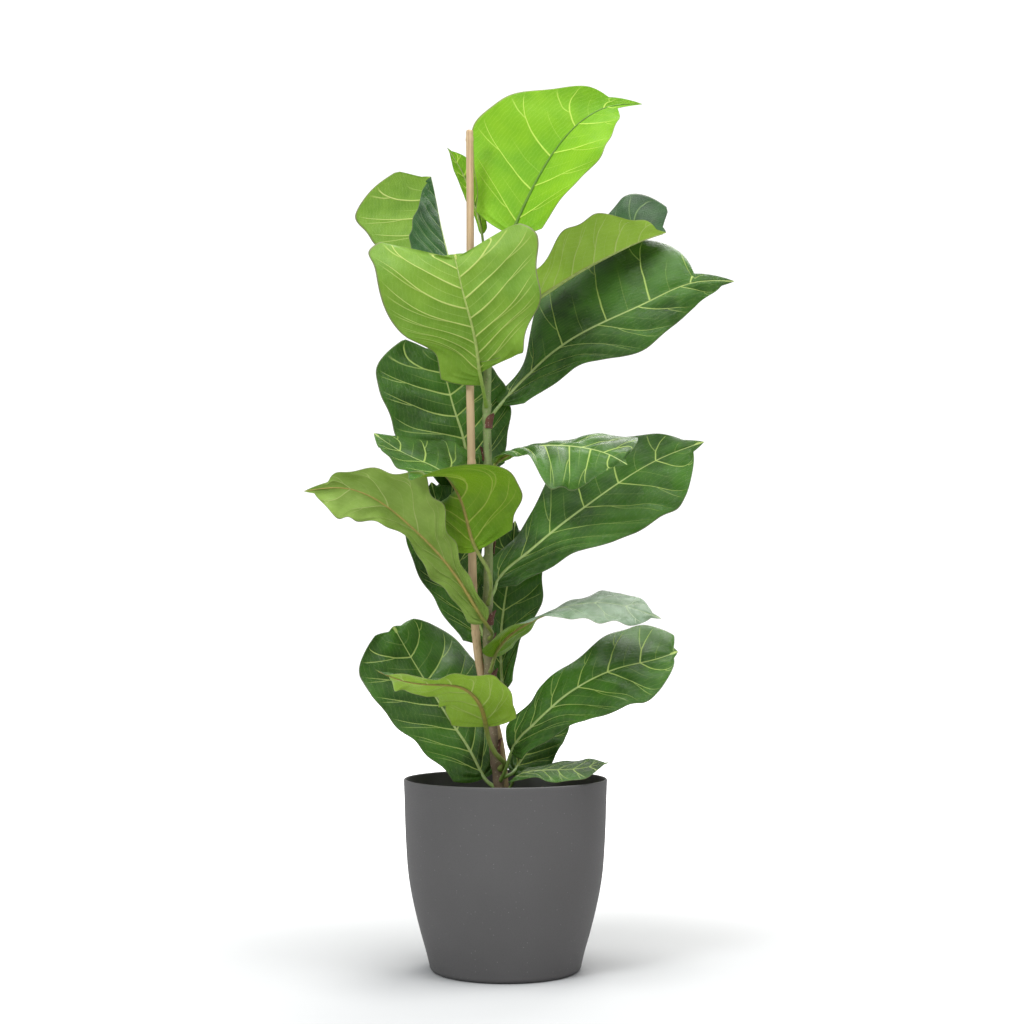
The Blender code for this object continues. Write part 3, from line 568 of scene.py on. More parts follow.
def growLeaf(own):
    leaf = {**usualLeaf, **own}
    luck = np.random.default_rng(leaf["seed"])
    stemCentre, stemRadius = stemAt(leaf["at"])
    away = np.array(leaf["stalk"][0]) - stemCentre
    away[2] = 0.0
    start = stemCentre + unit(away) * (stemRadius - 0.0012)
    points = np.array([start, *leaf["stalk"], *leaf["rib"]])
    knots = knotsOf(points)
    bladeStart = knots[1 + len(leaf["stalk"])]
    length = knots[-1] - bladeStart
    # u runs from the blade's foot to its tip, q from the midrib to the margin
    rows, columns = bladeMesh["rows"], 2 * bladeMesh["columns"] + 1
    even = np.linspace(0.0, 1.0, rows)
    u = 0.45 * even + 0.55 * (1.0 - np.cos(pi * even)) / 2.0
    q = np.linspace(0.0, 1.0, bladeMesh["columns"] + 1) ** 1.3
    frame = frameAt(leaf, knots, points, bladeStart + u * length, u)
    halves = [bladeHalf(leaf, side, u, q, frame, length, luck) for side in (0, 1)]
    surface, normal, vein, blade = (np.concatenate([a[:, :0:-1], b], axis=1) for a, b in zip(*halves))
    margin = np.abs(blade[..., 1])
    thick = bladeMesh["thickness"] * (1.0 - 0.62 * margin**6) * np.clip(6.0 * (1.0 - u), 0.35, 1.0)[:, None]
    toVein = (0.5 - np.abs(vein[..., 0] % 1.0 - 0.5)) * vein[..., 2]
    ridge = bladeMesh["ridge"] * np.exp(-((toVein / bladeMesh["ridgeWidth"]) ** 2)) * (1.0 - margin)
    ridge = ridge * (vein[..., 1] > 0.0008)
    upper = surface + thick[..., None] * normal
    lower = surface - (thick + ridge)[..., None] * normal
    rings, ribPlace = growRib(leaf, knots, points, bladeStart, length)
    count = rows * columns
    facesUp = gridFaces(rows, columns).tolist()
    facesDown = gridFaces(rows, columns, count)[:, ::-1].tolist() + rimFaces(rows, columns, count)
    ribPoints, ribFaces = closedTube(rings)
    ribFaces = [[2 * count + corner for corner in face] for face in ribFaces]
    side = np.ones((rows, columns, 1))
    noVein = np.repeat([[0.0, 0.0, 0.04]], len(ribPoints), axis=0)
    vein = vein.reshape(-1, 3)
    places = [np.concatenate([blade, hand * side], axis=-1).reshape(-1, 3) for hand in (1, -1)]
    fields = dict(
        veinPlace=np.concatenate([vein, vein, noVein]), bladePlace=np.concatenate([*places, ribPlace]))
    points = np.concatenate([upper.reshape(-1, 3), lower.reshape(-1, 3), ribPoints])
    facing = [0] * len(facesUp) + [1] * len(facesDown) + [2] * len(ribFaces)
    finishes = [leaf["upper"], leaf["under"], leaf["ribFinish"]]
    name = leaf["node"].replace("leaf_", "figLeaf")
    piece = meshPiece(name, points, facesUp + facesDown + ribFaces, finishes, facing, fields)
    settle(piece, "leaf", leaf["node"])


print("leaves")

crown = dict(
    node="leaf_01_crown", at=0.835, stalk=[(-0.004, -0.008, 0.876)], seed=11,
    rib=[(0.01, -0.004, 0.914), (0.031, 0.004, 0.962), (0.064, 0.014, 1.021), (0.097, 0.022, 1.059),
         (0.13, 0.03, 1.079), (0.175, 0.04, 1.086)], top=[(0, 1, 0), (0.1, 1, 0), (0.1, 1, -0.2)],
    left=(44, 56, 72, 86, 80, 60, 36), right=(50, 66, 94, 106, 86, 50, 19), lift=((-40, -40), (5, 5)),
    tail=0.14, under=backlitBrightUnder, ribFinish=deepRib, drift=1.6, quilt=1.0, blunt=0.1, lean=0.25,
    veinsRight=(0.04, 0.22, 0.42, 0.62, 0.8), veinsLeft=(0.06, 0.24, 0.44, 0.64, 0.82))
growLeaf(crown)

young = dict(
    node="leaf_02_young", at=0.85, stalk=[(-0.027, 0.012, 0.891)], seed=12,
    rib=[(-0.031, 0.015, 0.92), (-0.043, 0.02, 0.962), (-0.055, 0.022, 0.993), (-0.074, 0.02, 1.024)],
    top=[(0.3, 0.5, 0.2)], left=(7, 9, 14, 18, 18, 14, 8), right=(7, 9, 14, 18, 18, 14, 8),
    lift=((30, 30), (30, 30)), upper=backlitBrightUnder, under=backlitBrightUnder, ribFinish=paleRib, stalkSize=1.6,
    drift=0.6, quilt=0.4, wave=(0.5, 3.0, 0.0, 0.5))
growLeaf(young)

topLeft = dict(
    node="leaf_03_top_left", at=0.804, stalk=[(-0.043, 0.03, 0.841)], seed=13,
    rib=[(-0.065, 0.05, 0.871), (-0.076, 0.07, 0.903), (-0.085, 0.09, 0.941), (-0.092, 0.11, 0.978),
         (-0.099, 0.12, 1.012)], top=[(1, 0, 0.3), (1, 0, 0), (1, 0, -0.1)],
    left=(60, 62, 56, 46, 34, 24, 14), right=(52, 58, 66, 84, 104, 118, 124), lift=((-45, -45), (-60, -60)),
    reach=(0.0, 0.036), tail=0.03, ribFinish=paleRib, quilt=1.2, blunt=0.2, wave=(0.8, 2.0, 0.0, 0.3),
    drift=1.2, lean=(0.4, 0.3), upper=paintedShadeTop)
growLeaf(topLeft)

topRight = dict(
    node="leaf_04_top_right", at=0.765, stalk=[(-0.001, 0.02, 0.801)], seed=14,
    rib=[(0.037, 0.035, 0.832), (0.089, 0.05, 0.868), (0.138, 0.065, 0.897), (0.18, 0.075, 0.918),
         (0.208, 0.08, 0.928)], top=[(-0.35, 0.3, 0.88)], left=(38, 46, 50, 50, 62, 112, 130),
    right=(30, 34, 50, 56, 54, 34, 26), lift=((55, 65), (60, 60)), ribFinish=paleRib, quilt=1.2, blunt=0.15,
    lean=(0.3, 0.35), under=paintedLightUnder, reach=(0.04, 0.0), upper=paintedShadeTop)
growLeaf(topRight)

topFront = dict(
    node="leaf_05_top_front", at=0.69, stalk=[(-0.027, -0.024, 0.707)], seed=15,
    rib=[(-0.031, -0.04, 0.727), (-0.035, -0.055, 0.756), (-0.043, -0.066, 0.792),
         (-0.053, -0.068, 0.829), (-0.059, -0.064, 0.856), (-0.063, -0.055, 0.872)],
    top=[(0.2, 1, 0.3), (0.1, 1, 0), (0.1, 0.9, -0.35)], left=(48, 57, 69, 90, 98, 102, 98),
    right=(50, 54, 66, 92, 97, 102, 104), lift=((10, 10), (10, 10)), reach=(0.052, 0.078), ribFinish=paleRib,
    quilt=1.4, wave=(3.5, 3.0, 0.2, 0.7), bow=1.0, notch=1.2, lean=(0.42, 0.5),
    veinsLeft=(0.05, 0.17, 0.3, 0.45, 0.61, 0.78), veinsRight=(0.03, 0.13, 0.25, 0.38, 0.53, 0.69, 0.85),
    ears=(-0.008, 0.008), frill=(0.03, 3.0), blunt=0.2, bumpsRight=[(0.82, 9, 0.06)])
growLeaf(topFront)

highRight = dict(
    node="leaf_06_high_right", at=0.676, stalk=[(-0.011, 0.012, 0.69)], seed=16,
    rib=[(-0.002, 0.021, 0.702), (0.023, 0.034, 0.73), (0.065, 0.044, 0.77), (0.114, 0.052, 0.801),
         (0.184, 0.055, 0.834), (0.24, 0.05, 0.857), (0.291, 0.04, 0.857)],
    top=[(-0.3, -0.8, 0.5), (0, -0.9, 0.3)], left=(20, 18, 60, 118, 130, 112, 84),
    right=(24, 32, 40, 54, 54, 34, 28), curl=((-20,), (-20,)), tail=(0.14, 0.04), blunt=0.15,
    lean=(0.14, 0.4), veinsLeft=(0.03, 0.15, 0.31, 0.5, 0.68, 0.84))
growLeaf(highRight)

highLeft = dict(
    node="leaf_07_high_left", at=0.586, stalk=[(-0.032, 0.014, 0.596)], seed=17,
    rib=[(-0.04, 0.022, 0.607), (-0.054, 0.026, 0.657), (-0.066, 0.026, 0.695),
         (-0.074, 0.026, 0.725), (-0.089, 0.028, 0.77)], top=[(0.2, -0.95, 0.1)],
    left=(40, 56, 72, 80, 84, 88, 86), right=(40, 50, 62, 70, 68, 58, 46), lift=((0, 0), (10, 10)),
    blunt=0.25, lean=0.35, reach=(0.035, 0.0))
growLeaf(highLeft)

arched = dict(
    node="leaf_08_arched", at=0.607, stalk=[(-0.014, -0.014, 0.616)], seed=18,
    rib=[(-0.007, -0.022, 0.624), (0.018, -0.035, 0.635), (0.048, -0.05, 0.638),
         (0.102, -0.07, 0.632), (0.128, -0.085, 0.622), (0.145, -0.095, 0.611)],
    top=[(-0.3, 0.3, 0.9), (0, -0.3, 0.7), (0, -0.7, 0.7)], left=(22, 26, 28, 36, 42, 54, 54),
    right=(22, 26, 36, 74, 78, 60, 32), lift=((0, 0), (-15, -15)), ribFinish=brownRib, blunt=0.14,
    under=freshUnder, lean=(0.4, 0.3), veinsRight=(0.02, 0.18, 0.36, 0.54, 0.7, 0.85))
growLeaf(arched)

cupped = dict(
    node="leaf_09_cupped", at=0.446, stalk=[(-0.019, -0.024, 0.48)], seed=19,
    rib=[(-0.038, -0.041, 0.517), (-0.048, -0.052, 0.552), (-0.06, -0.058, 0.585),
         (-0.076, -0.052, 0.605), (-0.108, -0.04, 0.622), (-0.136, -0.03, 0.637), (-0.162, -0.022, 0.656)],
    top=[(0, 1, 0.1), (0, 1, 0.35), (0.1, 0.45, 0.85), (0.2, -0.4, 0.92), (0.3, -0.5, 0.8),
         (0.3, -0.6, 0.7), (0.3, -0.6, 0.7)], left=(46, 62, 80, 72, 46, 30, 18),
    right=(28, 38, 64, 88, 76, 50, 26), lift=((5, 5), (5, 5)), ribFinish=brownRib, wave=(3.0, 4.0, 0.0, 0.5),
    under=freshUnder, drift=1.6, lean=0.35, frill=(0.05, 6.0))
growLeaf(cupped)

middleRight = dict(
    node="leaf_10_middle_right", at=0.455, stalk=[(-0.014, 0.012, 0.463)], seed=20,
    rib=[(-0.011, 0.02, 0.472), (0.029, 0.04, 0.512), (0.057, 0.05, 0.536), (0.105, 0.06, 0.573),
         (0.15, 0.07, 0.605), (0.2, 0.075, 0.634), (0.255, 0.075, 0.655)], top=[(-0.35, -0.85, 0.4)],
    left=(24, 30, 46, 78, 88, 52, 20), right=(28, 34, 48, 68, 78, 72, 42), blunt=0.12, lean=(0.2, 0.5))
growLeaf(middleRight)

middleLeft = dict(
    node="leaf_11_middle_left", at=0.402, stalk=[(-0.016, -0.014, 0.408), (-0.019, -0.027, 0.415)], seed=21,
    rib=[(-0.027, -0.037, 0.427), (-0.056, -0.05, 0.474), (-0.087, -0.06, 0.513),
         (-0.115, -0.07, 0.54), (-0.143, -0.075, 0.563), (-0.186, -0.078, 0.583), (-0.242, -0.07, 0.581)],
    top=[(0.2, 0.95, 0.2)], left=(14, 12, 20, 40, 56, 30, 22), right=(18, 20, 26, 15, 25, 40, 30),
    lift=((0, 0), (-30, -30)), tail=(0.1, 0.04), ribFinish=brownRib, wave=(4.0, 7.0, 0.0, 0.5),
    blunt=(0.1, 0.2), under=greyUnder, lean=0.4, ears=0.002, frill=(0.1, 7.0))
growLeaf(middleLeft)

behindLeft = dict(
    node="leaf_12_behind_left", at=0.383, stalk=[(-0.026, 0.014, 0.392)], seed=22,
    rib=[(-0.027, 0.02, 0.401), (-0.042, 0.03, 0.436), (-0.061, 0.035, 0.479), (-0.074, 0.04, 0.521),
         (-0.094, 0.04, 0.6)], top=[(0.3, -0.9, 0.2)], left=(26, 32, 38, 46, 50, 48, 46),
    right=(21, 25, 28, 41, 50, 50, 46), ears=0.003, reach=(0.018, 0.018))
growLeaf(behindLeft)

levelRight = dict(
    node="leaf_13_level_right", at=0.362, stalk=[(-0.015, -0.015, 0.375)], seed=23,
    rib=[(-0.009, -0.025, 0.392), (0.024, -0.045, 0.422), (0.066, -0.06, 0.44),
         (0.125, -0.075, 0.446), (0.186, -0.08, 0.428)],
    top=[(-0.3, 0.3, 0.9), (0, -0.25, 0.9), (0, -0.5, 0.8)], left=(30, 32, 30, 40, 46, 38, 32),
    right=(30, 32, 30, 42, 52, 46, 36), ribFinish=brownRib, wave=(2.0, 5.0, 0.0, 0.3), under=freshUnder,
    ears=0.007, drift=1.6, quilt=1.2, frill=(0.06, 7.0), upper=paintedSheenTop)
growLeaf(levelRight)

backLeaf = dict(
    node="leaf_14_back", at=0.321, stalk=[(-0.006, 0.012, 0.33)], seed=24,
    rib=[(-0.004, 0.024, 0.343), (-0.006, 0.045, 0.389), (-0.001, 0.066, 0.451),
         (0.007, 0.078, 0.502), (0.012, 0.082, 0.554)], top=[(-0.2, -0.95, 0.1)],
    left=(24, 27, 31, 45, 46, 39, 32), right=(12, 18, 28, 45, 46, 39, 32), ears=0.003)
growLeaf(backLeaf)

lowFront = dict(
    node="leaf_15_low_front", at=0.243,
    stalk=[(-0.002, -0.01, 0.248), (-0.01, -0.029, 0.262), (-0.021, -0.041, 0.285)], seed=25,
    rib=[(-0.024, -0.055, 0.304), (-0.031, -0.075, 0.328), (-0.05, -0.095, 0.347),
         (-0.086, -0.115, 0.352), (-0.12, -0.13, 0.357), (-0.151, -0.13, 0.369)],
    top=[(0.1, 0.8, 0.5), (0, 0.35, 0.9), (0, 0.15, 1)], left=(36, 42, 47, 45, 40, 34, 28),
    right=(40, 44, 46, 46, 44, 40, 34), ribFinish=brownRib, wave=(3.0, 4.0, 0.0, 0.5), under=paintedLightUnder,
    frill=(0.05, 6.0), stalkSize=3.0)
growLeaf(lowFront)

lowBehind = dict(
    node="leaf_16_low_behind", at=0.232, stalk=[(0.006, 0.006, 0.236)], seed=26,
    rib=[(0.014, 0.02, 0.243), (0.034, 0.036, 0.272), (0.07, 0.048, 0.308), (0.117, 0.052, 0.345)],
    top=[(-0.3, -0.7, 0.6)], left=(14, 18, 22, 26, 24, 18, 12), right=(30, 36, 38, 30, 18, 12, 6),
    ears=(0.004, 0.008))
growLeaf(lowBehind)

lowLeft = dict(
    node="leaf_17_low_left", at=0.22, stalk=[(-0.022, 0.004, 0.227)], seed=27,
    rib=[(-0.029, 0.008, 0.236), (-0.043, 0.015, 0.262), (-0.063, 0.025, 0.292),
         (-0.093, 0.04, 0.337), (-0.112, 0.05, 0.366), (-0.142, 0.05, 0.418)], top=[(0.3, -0.8, 0.5)],
    left=(36, 44, 54, 64, 70, 73, 72), right=(34, 46, 62, 78, 85, 78, 60), curl=((-20,), (-20,)),
    reach=(0.014, 0.012), tail=0.03, ears=0.003, blunt=(0.26, 0.3), lean=(0.3, 0.35))
growLeaf(lowLeft)

lowRight = dict(
    node="leaf_18_low_right", at=0.229, stalk=[(0.000, -0.016, 0.243)], seed=28,
    rib=[(0.01, -0.03, 0.272), (0.035, -0.045, 0.301), (0.068, -0.055, 0.332), (0.098, -0.06, 0.352),
         (0.141, -0.06, 0.37), (0.177, -0.055, 0.378), (0.208, -0.05, 0.388)], top=[(-0.3, -0.7, 0.6)],
    left=(30, 34, 38, 42, 54, 68, 60), right=(28, 30, 40, 54, 60, 52, 40), reach=(0.02, 0.0), tail=0.03,
    lean=(0.2, 0.45))
growLeaf(lowRight)

rimLeaf = dict(
    node="leaf_19_at_rim", at=0.212, stalk=[(0.006, -0.013, 0.222)], seed=29,
    rib=[(0.013, -0.03, 0.236), (0.042, -0.045, 0.245), (0.083, -0.06, 0.248), (0.124, -0.07, 0.257)],
    top=[(-0.1, -0.3, 0.95)], left=(16, 18, 22, 32, 33, 27, 22), right=(16, 18, 22, 32, 33, 27, 22),
    stalkSize=1.9, wave=(1.2, 3.0, 0.0, 0.4), drift=1.0, quilt=0.9)
growLeaf(rimLeaf)


print("stem, cane and bud")


def barkFinish():
    made, tree, shader = newFinish("stemBark")
    place = objectPlace(tree)
    height = addNode(tree, "SeparateXYZ", {0: place}).outputs[2]
    grain = streaks(tree, place, 160.0, 34.0)
    patch = noise(tree, place, 70.0, 3.0)
    young = blendColour(tree, patch, (0.16, 0.26, 0.07), (0.3, 0.36, 0.14))
    old = blendColour(tree, patch, (0.105, 0.07, 0.038), (0.27, 0.2, 0.125))
    ageing = sums(tree, "ADD", height, times(tree, patch, 0.1))
    colour = blendColour(tree, step(tree, ageing, 0.34, 0.62), old, young)
    colour = blendColour(tree, step(tree, grain, 0.52, 0.72, 0.0, 0.6), colour, (0.09, 0.06, 0.035))
    dots = addNode(tree, "TexVoronoi", {"Vector": place, "Scale": 260.0}).outputs["Distance"]
    spots = step(tree, dots, 0.16, 0.3, 0.55, 0.0)
    colour = blendColour(tree, spots, colour, (0.42, 0.36, 0.24))
    rough = step(tree, grain, 0.2, 0.8, 0.62, 0.85)
    dress(shader, tree, colour, rough, sums(tree, "ADD", grain, spots), 0.5, 0.0008)
    return made


jointHeights = (  # where the stem is a little thicker, at the foot of a leaf
    0.835, 0.804, 0.765, 0.69, 0.676, 0.607, 0.586, 0.455, 0.446, 0.402, 0.383, 0.362, 0.321, 0.25, 0.229)


def makeStem():
    points = np.array(stem["line"])
    knots = knotsOf(points)
    rows, sides = 420, 40
    at = np.linspace(0.0, knots[-1], rows)
    line = lineAt(knots, points, at)
    radii = stem["foot"] + (stem["top"] - stem["foot"]) * at / knots[-1]
    heights = line[:, 2]
    for joint in jointHeights:
        radii = radii + 0.0009 * np.exp(-(((heights - joint) / 0.005) ** 2))
        radii = radii - 0.0004 * np.exp(-(((heights - joint + 0.0075) / 0.0012) ** 2))
    turn = np.linspace(0.0, 2.0 * pi, sides, endpoint=False)
    bumps = 0.00016 * np.sin(3.0 * turn[None, :] + 40.0 * heights[:, None]) + 0.00012 * np.sin(
        5.0 * turn[None, :] - 90.0 * heights[:, None])
    points, faces = closedTube(tube(line, radii[:, None] + bumps, sides))
    piece = meshPiece("figStem", points, faces, [barkFinish()])
    settle(piece, "bark", "stem")


makeStem()


def caneFinish():
    made, tree, shader = newFinish("bareCane")
    place = objectPlace(tree)
    grain = streaks(tree, place, 420.0, 9.0)
    patch = noise(tree, place, 26.0, 3.0)
    colour = blendColour(tree, patch, (0.48, 0.32, 0.155), (0.66, 0.49, 0.29))
    colour = blendColour(tree, step(tree, grain, 0.48, 0.7, 0.0, 0.5), colour, (0.33, 0.18, 0.1))
    rough = step(tree, grain, 0.2, 0.8, 0.5, 0.72)
    dress(shader, tree, colour, rough, grain, 0.35, 0.0006)
    return made


def makeCane():
    points = np.array(cane["line"])
    knots = knotsOf(points)
    rows, sides = 300, 32
    at = np.linspace(0.0, knots[-1], rows)
    line = lineAt(knots, points, at)
    radii = cane["foot"] + (cane["top"] - cane["foot"]) * at / knots[-1]
    for joint in (1.026, 0.83, 0.62, 0.41):
        radii = radii + 0.0007 * np.exp(-(((line[:, 2] - joint) / 0.0022) ** 2))
        radii = radii - 0.0003 * np.exp(-(((line[:, 2] - joint - 0.004) / 0.0016) ** 2))
    radii[-1] *= 0.86
    points, faces = closedTube(tube(line, radii, sides))
    piece = meshPiece("bareCane", points, faces, [caneFinish()])
    settle(piece, "cane", "support_cane")


makeCane()

print("planter and soil")

planter = dict(
    height=0.232, wall=0.003, floor=0.005,
    outside=[(0.2305, 0.125), (0.205, 0.124), (0.18, 0.1232), (0.143, 0.1213), (0.119, 0.1192),
             (0.094, 0.1152), (0.069, 0.1096), (0.0445, 0.1032), (0.02, 0.0962), (0.007, 0.093)],
    foot=0.007, soilTop=0.2035)  # outside holds heights and radii


def potRadius(height):
    heights = np.array([z for z, _ in planter["outside"]][::-1])
    radii = np.array([r for _, r in planter["outside"]][::-1])
    return lineAt(heights, radii[:, None], np.atleast_1d(np.clip(height, 0.007, 0.2305)))[:, 0]


def turnedPiece(name, profile, steps, finish):
    profile = np.array(profile)
    turn = np.linspace(0.0, 2.0 * pi, steps, endpoint=False)
    rings = np.stack([profile[:, :1] * np.cos(turn), profile[:, :1] * np.sin(turn),
                      np.repeat(profile[:, 1:], steps, 1)], axis=-1)
    faces = gridFaces(len(profile), steps, closed=True)[:, ::-1].tolist()
    faces.append(list(range(steps)))
    faces.append(list(range((len(profile) - 1) * steps, len(profile) * steps))[::-1])
    return meshPiece(name, rings.reshape(-1, 3), faces, [finish])


def potFinish():
    made, tree, shader = newFinish("planterShell")
    place = objectPlace(tree)
    fine = noise(tree, place, 850.0, 2.0)
    cloud = noise(tree, place, 13.0, 3.0)
    colour = blendColour(tree, cloud, (0.095, 0.091, 0.09), (0.114, 0.11, 0.111))
    colour = blendColour(tree, step(tree, fine, 0.35, 0.7, 0.0, 0.25), colour, (0.085, 0.082, 0.082))
    dots = addNode(tree, "TexVoronoi", {"Vector": place, "Scale": 230.0})
    few = step(tree, addNode(tree, "SeparateColor", {0: dots.outputs["Color"]}).outputs[0], 0.82, 0.9)
    speck = times(tree, step(tree, dots.outputs["Distance"], 0.1, 0.2, 1.0, 0.0), few)
    colour = blendColour(tree, times(tree, speck, 0.35), colour, (0.26, 0.255, 0.25))
    rough = step(tree, fine, 0.2, 0.8, 0.5, 0.64)
    height = sums(tree, "ADD", fine, times(tree, speck, 0.4))
    dress(shader, tree, colour, rough, height, 0.22, 0.0004, Specular_IOR_Level=0.22)
    return made


def makePlanter():
    wall, height = planter["wall"], planter["height"]
    lip = wall / 2.0
    inner = [(0.0001, planter["floor"]), (potRadius(0.02)[0] - wall - 0.008, planter["floor"])]
    inner += [(potRadius(0.014)[0] - wall - 0.002, planter["floor"] + 0.003)]
    inner += [(potRadius(z)[0] - wall, z) for z in np.linspace(0.016, height - lip - 0.001, 40)]
    rim = [(0.125 - lip - lip * cos(a), height - lip + lip * sin(a)) for a in np.linspace(0.0, pi, 11)[1:-1]]
    outer = [(potRadius(z)[0], z) for z in np.linspace(height - lip, 0.0072, 60)]
    footRadius = outer[-1][0] - planter["foot"]
    foot = [(footRadius + planter["foot"] * cos(a), planter["foot"] * (1.0 - sin(a)))
            for a in np.linspace(0.0, pi / 2.0, 9)[1:]]
    piece = turnedPiece("planterShell", inner + rim + outer + foot + [(0.0001, 0.0)], 192, potFinish())
    settle(piece, "planter", "planter")


makePlanter()


def soilFinish():
    made, tree, shader = newFinish("pottingSoil")
    place = objectPlace(tree)
    grain = noise(tree, place, 420.0, 5.0, 0.7)
    clods = addNode(tree, "TexVoronoi", {"Vector": place, "Scale": 150.0}).outputs["Distance"]
    colour = blendColour(tree, grain, (0.012, 0.007, 0.004), (0.06, 0.036, 0.021))
    colour = blendColour(tree, step(tree, noise(tree, place, 900.0, 1.0), 0.66, 0.74, 0.0, 0.6), colour,
                         (0.2, 0.13, 0.08))
    rough = step(tree, grain, 0.2, 0.8, 0.8, 0.97)
    dress(shader, tree, colour, rough, sums(tree, "ADD", grain, clods), 0.9, 0.0025)
    return made


def makeSoil():
    luck = np.random.default_rng(5)
    rings, spokes = 90, 220
    gap = planter["wall"] + 0.0004  # the soil stops just short of the wall
    edge = potRadius(0.2)[0] - gap
    radius = edge * np.linspace(0.0, 1.0, rings) ** 0.8
    turn = np.linspace(0.0, 2.0 * pi, spokes, endpoint=False)
    x, y = radius[:, None] * np.cos(turn), radius[:, None] * np.sin(turn)
    height = planter["soilTop"] - 0.0045 * (radius[:, None] / edge) ** 2 + 0.0 * x
    for k in range(26):
        a, b = luck.uniform(60.0, 700.0), luck.uniform(0.0, 2.0 * pi)
        height = height + 0.35 / a * np.sin(a * (x * cos(b) + y * sin(b)) + luck.uniform(0.0, 2.0 * pi))
    height[-1] = 0.1975
    top = np.stack([x, y, height], axis=-1).reshape(-1, 3)
    faces = gridFaces(rings, spokes, closed=True)[:, ::-1].tolist()
    levels = np.linspace(0.19, 0.012, 12)
    reach = (potRadius(levels) - gap)[:, None]
    deep = np.repeat(levels[:, None], spokes, 1)
    wall = np.stack([reach * np.cos(turn), reach * np.sin(turn), deep], axis=-1)
    base = (rings - 1) * spokes
    for k in range(spokes):
        n = (k + 1) % spokes
        faces.append([rings * spokes + k, rings * spokes + n, base + n, base + k])
    faces += gridFaces(len(levels), spokes, rings * spokes, closed=True)[:, ::-1].tolist()
    last = (rings + len(levels) - 1) * spokes
    faces.append([last + k for k in range(spokes)][::-1])
    points = [top, wall.reshape(-1, 3)]
    # loose crumbs
    total = (rings + len(levels)) * spokes
    corners = np.array([
        (1, 1, 1), (-1, -1, 1), (-1, 1, -1), (1, -1, -1), (1.2, 0, 0), (-1.2, 0, 0), (0, 1.2, 0),
        (0, -1.2, 0), (0, 0, 1.2), (0, 0, -1.2), (-1, 1, 1), (1, -1, 1), (1, 1, -1), (-1, -1, -1)])
    shell = [(8, 0, 10), (8, 10, 1), (8, 1, 11), (8, 11, 0), (9, 12, 3), (9, 3, 13), (9, 13, 2), (9, 2, 12),
             (4, 0, 11), (4, 11, 3), (4, 3, 12), (4, 12, 0), (5, 10, 2), (5, 2, 13), (5, 13, 1), (5, 1, 10),
             (6, 0, 12), (6, 12, 2), (6, 2, 10), (6, 10, 0), (7, 11, 1), (7, 1, 13), (7, 13, 3), (7, 3, 11)]
    for k in range(900):
        r, a = edge * 0.965 * luck.uniform(0.0, 1.0) ** 0.5, luck.uniform(0.0, 2.0 * pi)
        size = luck.uniform(0.0006, 0.0026)
        bumpy = corners * luck.uniform(0.65, 1.15, (14, 1)) * np.array([1.0, luck.uniform(0.6, 1.0), 0.7])
        ca, sa = cos(a * 7.0), sin(a * 7.0)
        spin = np.array([[ca, -sa, 0.0], [sa, ca, 0.0], [0.0, 0.0, 1.0]])
        spot = np.array([r * cos(a), r * sin(a), planter["soilTop"] - 0.0045 * (r / edge) ** 2 + 0.3 * size])
        points.append(size * bumpy @ spin.T + spot)
        faces += [[total + 14 * k + c for c in face] for face in shell]
    piece = meshPiece("pottingSoil", np.concatenate(points), faces, [soilFinish()])
    settle(piece, "soil", "potting_soil")


makeSoil()

print("sheaths")


def sheathFinish():
    made, tree, shader = newFinish("dryScale")
    place = objectPlace(tree)
    grain = streaks(tree, place, 500.0, 90.0)
    colour = blendColour(tree, grain, (0.05, 0.014, 0.008), (0.21, 0.075, 0.045))
    colour = blendColour(tree, step(tree, noise(tree, place, 320.0, 2.0), 0.58, 0.7, 0.0, 0.7), colour,
                         (0.46, 0.36, 0.27))
    rough = step(tree, grain, 0.2, 0.8, 0.6, 0.85)
    dress(shader, tree, colour, rough, grain, 0.6, 0.0008)
    return made


sheaths = [(0.664, -40.0), (0.624, 150.0), (0.508, 60.0), (0.42, -20.0), (0.392, 20.0), (0.348, -15.0),
           (0.3, 10.0), (0.262, 20.0)]
dryScale = sheathFinish()


def makeSheath(index, height, facing):
    rows, columns, tall = 22, 19, 0.019
    up = np.linspace(0.0, 1.0, rows)
    across = np.linspace(-1.0, 1.0, columns)
    halfAngle = 74.0 * np.sqrt(np.clip(1.0 - up**2.2, 0.0, 1.0)) + 2.0
    layers = []
    for skin in (0.0007, 0.0):
        layer = np.zeros((rows, columns, 3))
        for i in range(rows):
            centre, radius = stemAt(height + up[i] * tall)
            flare = 0.0036 * up[i] ** 2.2
            turn = np.radians(facing + halfAngle[i] * across)
            crease = 0.00035 * np.sin(9.0 * across + index) * up[i]
            reach = radius + 0.0011 + flare + crease + skin - 0.0007 * np.abs(across) ** 3 * up[i]
            layer[i, :, 0] = centre[0] + reach * np.cos(turn)
            layer[i, :, 1] = centre[1] + reach * np.sin(turn)
            layer[i, :, 2] = height + up[i] * tall - 0.0016 * across**2 * up[i]
        layers.append(layer.reshape(-1, 3))
    count = rows * columns
    faces = gridFaces(rows, columns).tolist() + gridFaces(rows, columns, count)[:, ::-1].tolist()
    rim = list(range(columns)) + [i * columns + columns - 1 for i in range(1, rows)]
    rim += [(rows - 1) * columns + k for k in range(columns - 2, -1, -1)]
    rim += [i * columns for i in range(rows - 2, 0, -1)]
    for a, b in zip(rim, rim[1:] + rim[:1]):
        faces.append([b, a, a + count, b + count])
    piece = meshPiece(f"dryScale{index}", np.concatenate(layers), faces, [dryScale])
    settle(piece, "sheath", f"bud_sheath_{index}")


for index, (height, facing) in enumerate(sheaths, start=1):
    makeSheath(index, height, facing)


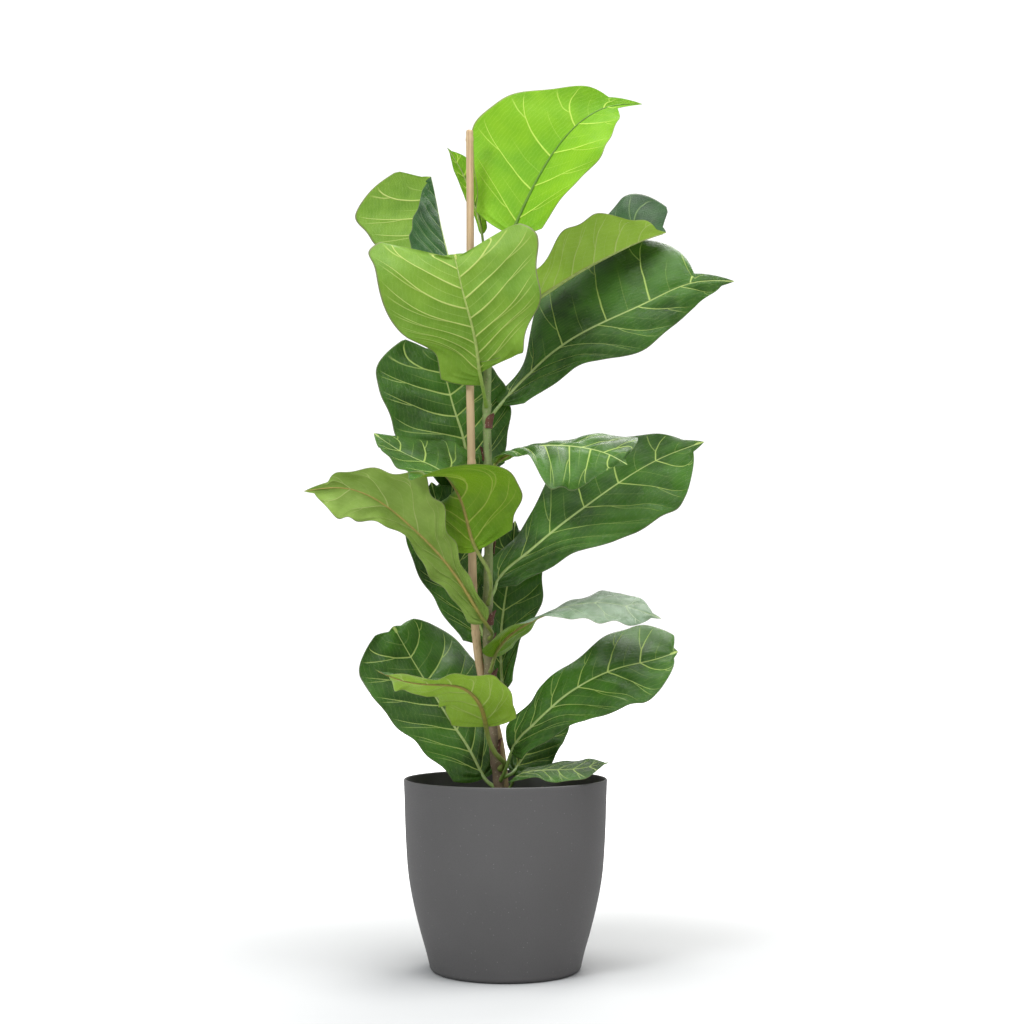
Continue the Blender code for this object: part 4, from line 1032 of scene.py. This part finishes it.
def makeBud():
    low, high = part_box("terminal_bud")
    finish, tree, shader = newFinish("youngBud")
    place = objectPlace(tree)
    patch = noise(tree, place, 160.0, 3.0)
    colour = blendColour(tree, patch, (0.13, 0.3, 0.04), (0.34, 0.42, 0.1))
    dress(shader, tree, colour, step(tree, patch, 0.2, 0.8, 0.35, 0.5), patch, 0.3, 0.0005)
    rows, sides = 40, 28
    up = np.linspace(0.0, 1.0, rows)
    line = np.stack([np.full(rows, (low.x + high.x) / 2.0), np.full(rows, (low.y + high.y) / 2.0),
                     low.z + (high.z - low.z) * up], axis=1)
    turn = np.linspace(0.0, 2.0 * pi, sides, endpoint=False)
    fold = 1.0 + 0.07 * np.sin(2.0 * turn[None, :] + 5.0 * up[:, None])
    radii = 0.0046 * np.sqrt(np.clip(1.0 - up**1.5, 0.0004, 1.0))[:, None] * fold
    points, faces = closedTube(tube(line, radii, sides))
    settle(meshPiece("youngBud", points, faces, [finish]), "young_green", "terminal_bud")


makeBud()

print("floor")


def makeFloor():
    finish, tree, shader = newFinish("studioFloor")
    shader.inputs["Base Color"].default_value = (0.51, 0.51, 0.51, 1.0)
    shader.inputs["Roughness"].default_value = 0.9
    shader.inputs["Specular IOR Level"].default_value = 0.0
    shader.inputs["Emission Color"].default_value = (1.0, 1.0, 1.0, 1.0)
    # painted light: the floor glows for camera rays only, more strongly away from the pot, so it reads
    # brighter further out
    away = addNode(tree, "VectorMath", {0: objectPlace(tree)}, operation="LENGTH").outputs["Value"]
    paintedFloorGlow = step(tree, away, 0.3, 1.3, 0.0, 1.1)
    tree.links.new(times(tree, paintedFloorGlow, addNode(tree, "LightPath").outputs["Is Camera Ray"]),
                   shader.inputs["Emission Strength"])
    corners = [(-30.0, -30.0, 0.0), (30.0, -30.0, 0.0), (30.0, 30.0, 0.0), (-30.0, 30.0, 0.0)]
    meshPiece("studioFloor", np.array(corners), [[0, 1, 2, 3]], [finish])
    finish, tree, shader = newFinish("backdropWhite")
    shader.inputs["Base Color"].default_value = (0.0, 0.0, 0.0, 1.0)
    shader.inputs["Emission Color"].default_value = (1.0, 1.0, 1.0, 1.0)
    seen = addNode(tree, "LightPath").outputs["Is Camera Ray"]
    tree.links.new(step(tree, seen, 0.0, 1.0, 0.5, 1.1), shader.inputs["Emission Strength"])
    corners = [(-12.0, 8.0, 0.0), (12.0, 8.0, 0.0), (12.0, 8.0, 9.0), (-12.0, 8.0, 9.0)]
    meshPiece("studioBackdrop", np.array(corners), [[0, 1, 2, 3]], [finish])


makeFloor()
setCamera()
setLights()
